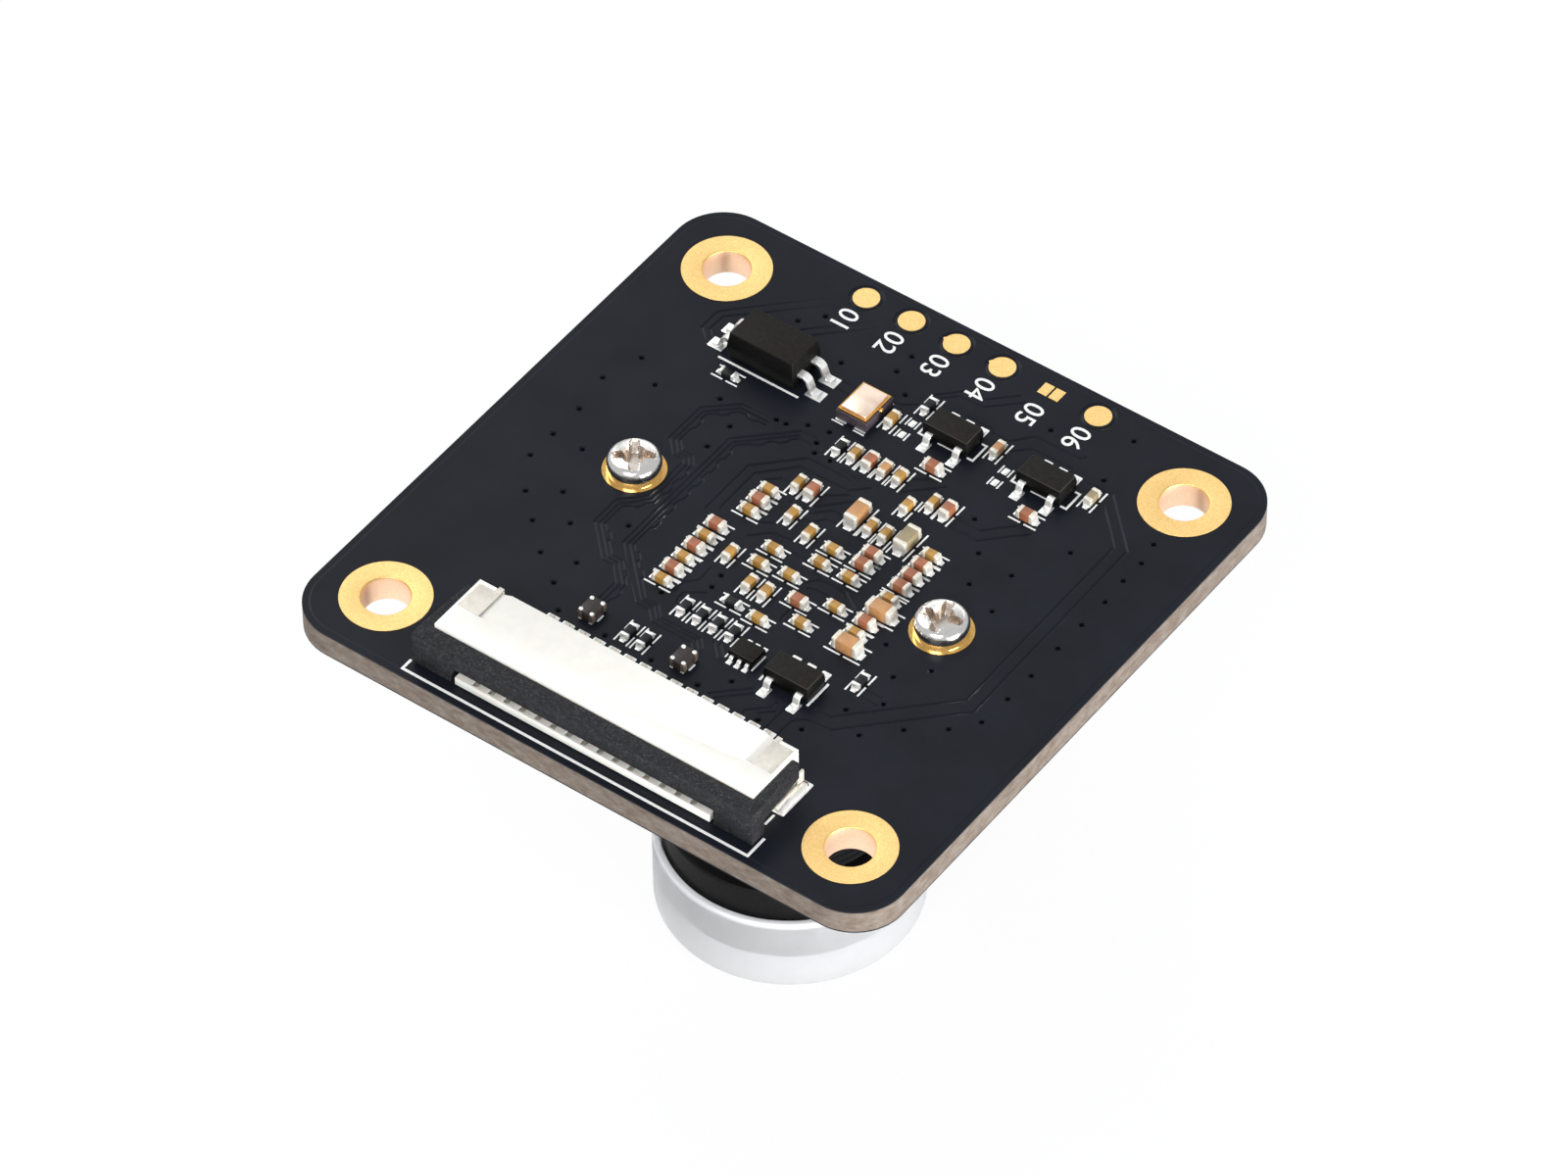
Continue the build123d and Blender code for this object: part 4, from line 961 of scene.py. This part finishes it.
bm = bmesh.new()
loft(bm, (
    barrel_rings([(CELL, REAR), (5.4, REAR), (5.62, REAR - 0.2), (THREAD_RUNOUT, REAR - 0.45)])
    + [thread_ring(REAR - 0.5 - k * PITCH / ROWS_A_TURN) for k in range(THREAD_ROWS + 1)]
    + barrel_rings([(THREAD_RUNOUT, HEAD_REAR + 0.01), (THREAD_RUNOUT, HEAD_REAR), (HEAD - 0.2, HEAD_REAR)])
    + barrel_rings(arc(HEAD - 0.2, HEAD_REAR - 0.2, 0.2, 90, 0, 3) + arc(HEAD - 0.3, FRONT + 0.3, 0.3, 0, -90, 4))
    + barrel_rings([(LIP_BORE + LIP_CONE, FRONT), (LIP_BORE, FRONT + LIP_DEPTH), (CELL, FRONT + LIP_DEPTH),
                    (CELL, REAR)])
), False)
piece("barrel", bm, "lens", ANODISED, ("lens_barrel",), 30)

# Chips

END_BOXES = islands("capacitor_terminals") + islands("resistor_terminals")


def chip_list(node):
    # (x, y, turn, length, width, height, terminal) of each chip, read from its ends
    out = []
    for low, high in islands(node):
        c = (low + high) / 2
        ends = sorted(END_BOXES, key=lambda b: ((b[0] + b[1]) / 2 - c).xy.length)[:2]
        a, b = ((e[0] + e[1]) / 2 for e in ends)
        along_x = abs(a.x - b.x) > abs(a.y - b.y)
        size = ends[0][1] - ends[0][0]
        terminal, width = (size.x, size.y) if along_x else (size.y, size.x)
        gap = (a - b).xy.length
        out.append(((a.x + b.x) / 2, (a.y + b.y) / 2, 0.0 if along_x else math.pi / 2,
                    gap + terminal, width, size.z, terminal))
    return out


def fillet_mesh(width, reach, rise, steps=6):
    # A wedge of solder from the pad up the end face, along +X
    bm = bmesh.new()
    rings = []
    for i in range(steps + 1):
        t = math.pi / 2 * i / steps
        d, h = reach * (1 - math.sin(t)), rise * (1 - math.cos(t))
        half = width / 2 * (0.42 + 0.52 * math.sin(t))
        top = [(d, -half, h), (d, -half * 0.6, h + 0.012), (d, half * 0.6, h + 0.012), (d, half, h)]
        rings.append(top + [(p[0], p[1], -0.005) for p in top[::-1]])
    loft(bm, rings)
    return mesh_of(bm, "fillet")


solder = bmesh.new()
pads = bmesh.new()
silk = bmesh.new()
ends = bmesh.new()
resistor_ends = bmesh.new()
CHIPS = {
    "amber_capacitors": ("amber_ceramic", AMBER),
    "red_capacitors": ("red_ceramic", RED),
    "tan_capacitors": ("tan_ceramic", TAN),
    "olive_capacitors": ("olive_ceramic", OLIVE),
    "resistors": ("resistor_ceramic", RESISTOR),
}
CHIP_LIFT = 0.015
FILLET_REACH, FILLET_SHARE = 0.2, 0.48
PAD_SHARE, PAD_REACH = 0.62, 0.25
SILK_WIDTH, SILK_LOW, SILK_HIGH = 0.09, -0.005, 0.025
SILK_GAP, SILK_REACH, SILK_BREAK = 0.15, 0.35, 0.11


def stroke(*points, width=SILK_WIDTH):
    ribbon(silk, points, width, SILK_LOW, SILK_HIGH)


def chip(bm, x, y, turn, length, width, tall, terminal, flat):
    at = on_board(x, y, turn, CHIP_LIFT)
    tall -= CHIP_LIFT
    if flat:
        terminal *= 0.75
        radius, segments = 0.035, 2
    else:
        radius, segments = 0.075 if width < 0.7 else 0.1, 4
    stamp(bm, box_mesh((length - 2 * terminal + 0.1, width - 0.03, tall - 0.02), 0.03, 2), at)
    end_mesh = box_mesh((terminal, width, tall), radius, segments)
    fillet = fillet_mesh(width, FILLET_REACH, tall * FILLET_SHARE)
    pad_length = 0.6 if length > 1.3 else 0.5
    centre = Vector((x, y))
    along = Vector((math.cos(turn), math.sin(turn)))
    across = Vector((-along.y, along.x)) * (width / 2 + SILK_GAP)
    for side in (-1, 1):
        shift = Matrix.Translation((side * (length - terminal) / 2, 0, 0))
        stamp(resistor_ends if flat else ends, end_mesh, at @ shift)
        outwards = Matrix.Rotation(0 if side > 0 else math.pi, 4, "Z")
        stamp(solder, fillet, at @ Matrix.Translation((side * length / 2, 0, 0)) @ outwards)
        spot = centre + along * side * (length / 2 + PAD_REACH - pad_length / 2)
        outline = rounded_outline(*spot, pad_length, width * PAD_SHARE, 0.05, 2, turn)
        plate(pads, outline, -0.01, PAD_HEIGHT, 0.01)
        # Two strokes of silkscreen along each long side
        for way in (-1, 1):
            near = centre + across * side + along * way * SILK_BREAK
            stroke(near, near + along * way * (length / 2 + SILK_REACH - SILK_BREAK))


for node, (slot, material) in CHIPS.items():
    bm = bmesh.new()
    for sizes in chip_list(node):
        chip(bm, *sizes, node == "resistors")
    piece(node + "_piece", bm, "board", material, (node,))
piece("chip_ends", ends, "board", CHIP_ENDS, ("capacitor_terminals",))
piece("resistor_ends", resistor_ends, "board", TIN, ("resistor_terminals",))

# Pads and silkscreen


def pad(x, y, width, length, radius=0.06):
    plate(pads, rounded_outline(x, y, width, length, radius, 3), -0.01, PAD_HEIGHT, 0.012)


def middle_of(node):
    low, high = node_box(node)
    return (low.x + high.x) / 2, (low.y + high.y) / 2


# Two empty places for small chips
for x, y in ((0.0, 10.85), (6.06, 10.85)):
    for side in (-1, 1):
        pad(x, y + side * 0.49, 0.35, 0.48)
        for k in (-1, 1):
            stroke((x + k * 0.31, y + side * 0.2), (x + k * 0.31, y + side * 0.82))

# Optocoupler
CORNERS = ((-1, -1), (-1, 1), (1, -1), (1, 1))
cx, cy = middle_of("optocoupler_body")
for sx, sy in CORNERS:
    pad(cx + sx * 3.25, cy + sy * 0.635, 1.0 + sx * 0.05, 0.78)
stroke((-11.4, 9.35), (-6.1, 9.35), width=0.13)
stroke((-11.1, 12.13), (-6.4, 12.13), width=0.13)

# Regulators: pads, and an outline that leaves room for the leads
REGULATORS = [middle_of(name + "_regulator_body") for name in ("left", "right", "front")]
REGULATOR_HOOK = ((1.44, 12.27), (1.76, 12.27), (1.76, 10.97), (1.39, 10.97))
for x, y in REGULATORS:
    for k in (-1, 0, 1):
        pad(x + 0.95 * k, y + 1.35, 0.55, 0.65)
    for k in (-1, 1):
        pad(x + 0.95 * k, y - 1.35, 0.55, 0.8)
for x, _ in REGULATORS[:2]:
    for k in (1, -1):
        stroke(*((x + k * reach, place) for reach, place in REGULATOR_HOOK), width=0.12)
    stroke((x - 0.5, 10.97), (x + 0.5, 10.97), width=0.12)
stroke((7.45, -6.52), (7.45, -8.4), width=0.13)
stroke((4.36, -6.9), (4.36, -8.37), width=0.13)

# Level shifter
cx, cy = middle_of("level_shifter_body")
for k in (-1, 0, 1):
    for side in (-1, 1):
        pad(cx + 0.5 * k, cy + side * 0.86, 0.3, 0.36, 0.04)
stroke((3.66, -6.86), (3.66, -8.1))
stroke((1.96, -6.9), (1.96, -8.1))

# Common-mode filters: pads, strokes, and a solder bead on each corner
beads = bmesh.new()
FILTER_TOP = node_box("left_filter_body")[1].z
BEAD_RADIUS, BEAD_HEIGHT = 0.13, 0.062
dome = [(0.001, FILTER_TOP + BEAD_HEIGHT)]
dome += [(BEAD_RADIUS * math.sin(a), FILTER_TOP + BEAD_HEIGHT * math.cos(a)) for a in (0.4, 0.8, 1.2, 1.5)]
for x, y in (middle_of("left_filter_body"), middle_of("right_filter_body")):
    for sx, sy in CORNERS:
        pad(x + sx * 0.34, y + sy * 0.56, 0.22, 0.2, 0.05)
        revolve(beads, dome, x + sx * 0.35, y + sy * 0.475, 24)
    for sx in (-1, 1):
        stroke((x + sx * 0.56, -9.46), (x + sx * 0.56, -9.97))

# Oscillator: corner pads, a gold bead on its side
cx, cy = middle_of("oscillator_base")
for sx, sy in CORNERS:
    pad(cx + sx * 0.62, cy + sy * 1.12, 0.7, 0.5)
stroke((-3.7, 9.1), (-2.95, 9.1), width=0.08)
stroke((-2.3, 9.1), (-1.6, 9.1), width=0.08)
bm = bmesh.new()
bmesh.ops.create_icosphere(bm, subdivisions=3, radius=0.17)
place = on_board(-1.62, 10.75, z=0.55) @ Matrix.Diagonal((0.6, 1.0, 0.8, 1.0))
bmesh.ops.transform(bm, matrix=place, verts=bm.verts)
piece("oscillator_bead", bm, "board", POLISHED_GOLD_PAINTED_REFLECTION, (), 60)

# Cable connector: outline below it, pads under its tails and tabs
stroke((-11.15, -17.8), (-11.15, -18.55), (11.1, -18.55), (11.1, -17.1), width=0.15)
stroke((10.55, -15.5), (10.55, -16.3), width=0.13)
HALF_TURN = [math.pi * k / 6 for k in range(7)]
for x in range(-7, 8):
    pad(x, -11.62, 0.74, 1.4)
    # Solder that rises towards the housing
    rows = [(-10.98 - 0.5 * t, 0.03 + 0.13 * t) for t in (k / 5 for k in range(6))]
    loft(solder, [
        [(x + 0.3 * math.cos(a), y, TOP + PAD_HEIGHT + rise * math.sin(a)) for a in HALF_TURN] for y, rise in rows
    ])
for side in (-1, 1):
    pad(side * 10.45, -14.0, 1.1, 2.7, 0.1)

# Small gold tips on the left of two test pads
TIP = ((0.1, 0.42), (-0.7, 0.2), (-0.88, 0.0), (-0.7, -0.2), (0.1, -0.42))
bm = bmesh.new()
for x, y in TEST_PADS[2:4]:
    plate(bm, [Vector((x + dx, y + dy)) for dx, dy in TIP], 0.0, PLATING - 0.004, 0.008)
piece("pad_tips", bm, "board", GOLD)

# Plain numbers beside the test pads, reading towards the front edge
for text, x in (("01", -7.55), ("02", -4.55), ("03", -1.57), ("04", 1.43), ("05", 4.64), ("06", 7.68)):
    curve = bpy.data.curves.new("number", "FONT")
    curve.body = text
    curve.size = 1.7
    curve.extrude = 0.02
    curve.resolution_u = 4
    stamp(silk, settled(in_scene("number", curve)), on_board(x - 0.6, 16.4, -math.pi / 2, 0.01))

piece("filter_beads", beads, "board", TIN)
piece("silkscreen", silk, "board", SILK)
piece("solder_pads", pads, "board", TIN)
piece("solder_fillets", solder, "board", SOLDER, (), 60)

# Floor, light and camera


def shown_or_lit(tree, output, share, lit, shown):
    # One shader for what the camera sees, also through clear plastic, and one for what lights the part
    path = tree.nodes.new("ShaderNodeLightPath")
    seen = tree.nodes.new("ShaderNodeMath")
    seen.operation = "MAXIMUM"
    tree.links.new(path.outputs["Is Camera Ray"], seen.inputs[0])
    tree.links.new(path.outputs["Is Transmission Ray"], seen.inputs[1])
    part = tree.nodes.new("ShaderNodeMath")
    part.operation = "MULTIPLY"
    tree.links.new(seen.outputs[0], part.inputs[0])
    part.inputs[1].default_value = share
    both = tree.nodes.new("ShaderNodeMixShader")
    for socket, source in zip(both.inputs, (part, lit, shown)):
        tree.links.new(source.outputs[0], socket)
    tree.links.new(both.outputs[0], tree.nodes.new(output).inputs["Surface"])


def coloured(tree, kind, colour, **values):
    node = tree.nodes.new(kind)
    node.inputs["Color"].default_value = (*colour, 1.0)
    for key, value in values.items():
        node.inputs[key].default_value = value
    return node


mesh = bpy.data.meshes.new("floor")
mesh.from_pydata([(-3, -3, 0), (3, -3, 0), (3, 3, 0), (-3, 3, 0)], [], [(0, 1, 2, 3)])
floor = in_scene("floor", mesh)
material = bpy.data.materials.new("floor_white")
material.use_nodes = True
tree = material.node_tree
tree.nodes.clear()
shown_or_lit(
    tree, "ShaderNodeOutputMaterial", 0.9,
    coloured(tree, "ShaderNodeBsdfDiffuse", (0.9, 0.9, 0.9)),
    coloured(tree, "ShaderNodeEmission", (1.0, 1.0, 1.0)),
)
mesh.materials.append(material)

world = bpy.data.worlds.new("studio")
bpy.context.scene.world = world
world.use_nodes = True
tree = world.node_tree
tree.nodes.clear()
shown_or_lit(
    tree, "ShaderNodeOutputWorld", 1.0,
    coloured(tree, "ShaderNodeBackground", (0.93, 0.96, 1.0), Strength=0.64),
    coloured(tree, "ShaderNodeBackground", (1.0, 1.0, 1.0), Strength=1.0),
)


def softbox(name, place, aim, width, height, power):
    lamp = bpy.data.lights.new(name, "AREA")
    lamp.shape = "RECTANGLE"
    lamp.size, lamp.size_y = width, height
    lamp.energy = power
    turn = (Vector(aim) - Vector(place)).to_track_quat("-Z", "Y").to_matrix().to_4x4()
    in_scene(name, lamp).matrix_world = Matrix.Translation(place) @ turn


MIDDLE = (0, 0, TOP * MM)
softbox("key", (-0.42, 0.14, 0.47), MIDDLE, 0.35, 0.35, 1.2)
softbox("side_fill", (0.52, -0.1, 0.07), (0, 0, 0.015), 0.3, 0.15, 4.8)
softbox("front_fill", (0.1, -0.4, 0.36), (0, 0, 0.02), 0.3, 0.25, 1.5)
softbox("back_fill", (-0.12, 0.3, 0.22), (-0.01, 0.02, 0.026), 0.25, 0.15, 0.08)

camera = bpy.data.cameras.new("camera")
camera.lens = 211.2348
camera.sensor_width = 36.0
camera.sensor_fit = "HORIZONTAL"
camera.clip_start, camera.clip_end = 0.01, 20.0
view = in_scene("camera", camera)
# Where the photo was taken from, fitted to the board's holes and corners
right = Vector((0.80667784, 0.59094083, -0.00773332))
up = -Vector((0.42580371, -0.59022818, -0.68580019))
back = -Vector((-0.40983176, 0.54992693, -0.72774879))
place = Vector((198.7787, -267.0149, 350.2629 + TOP)) * MM
view.matrix_world = Matrix.Translation(place) @ Matrix((right, up, back)).transposed().to_4x4()
bpy.context.scene.camera = view

bpy.context.scene.view_settings.view_transform = "Standard"
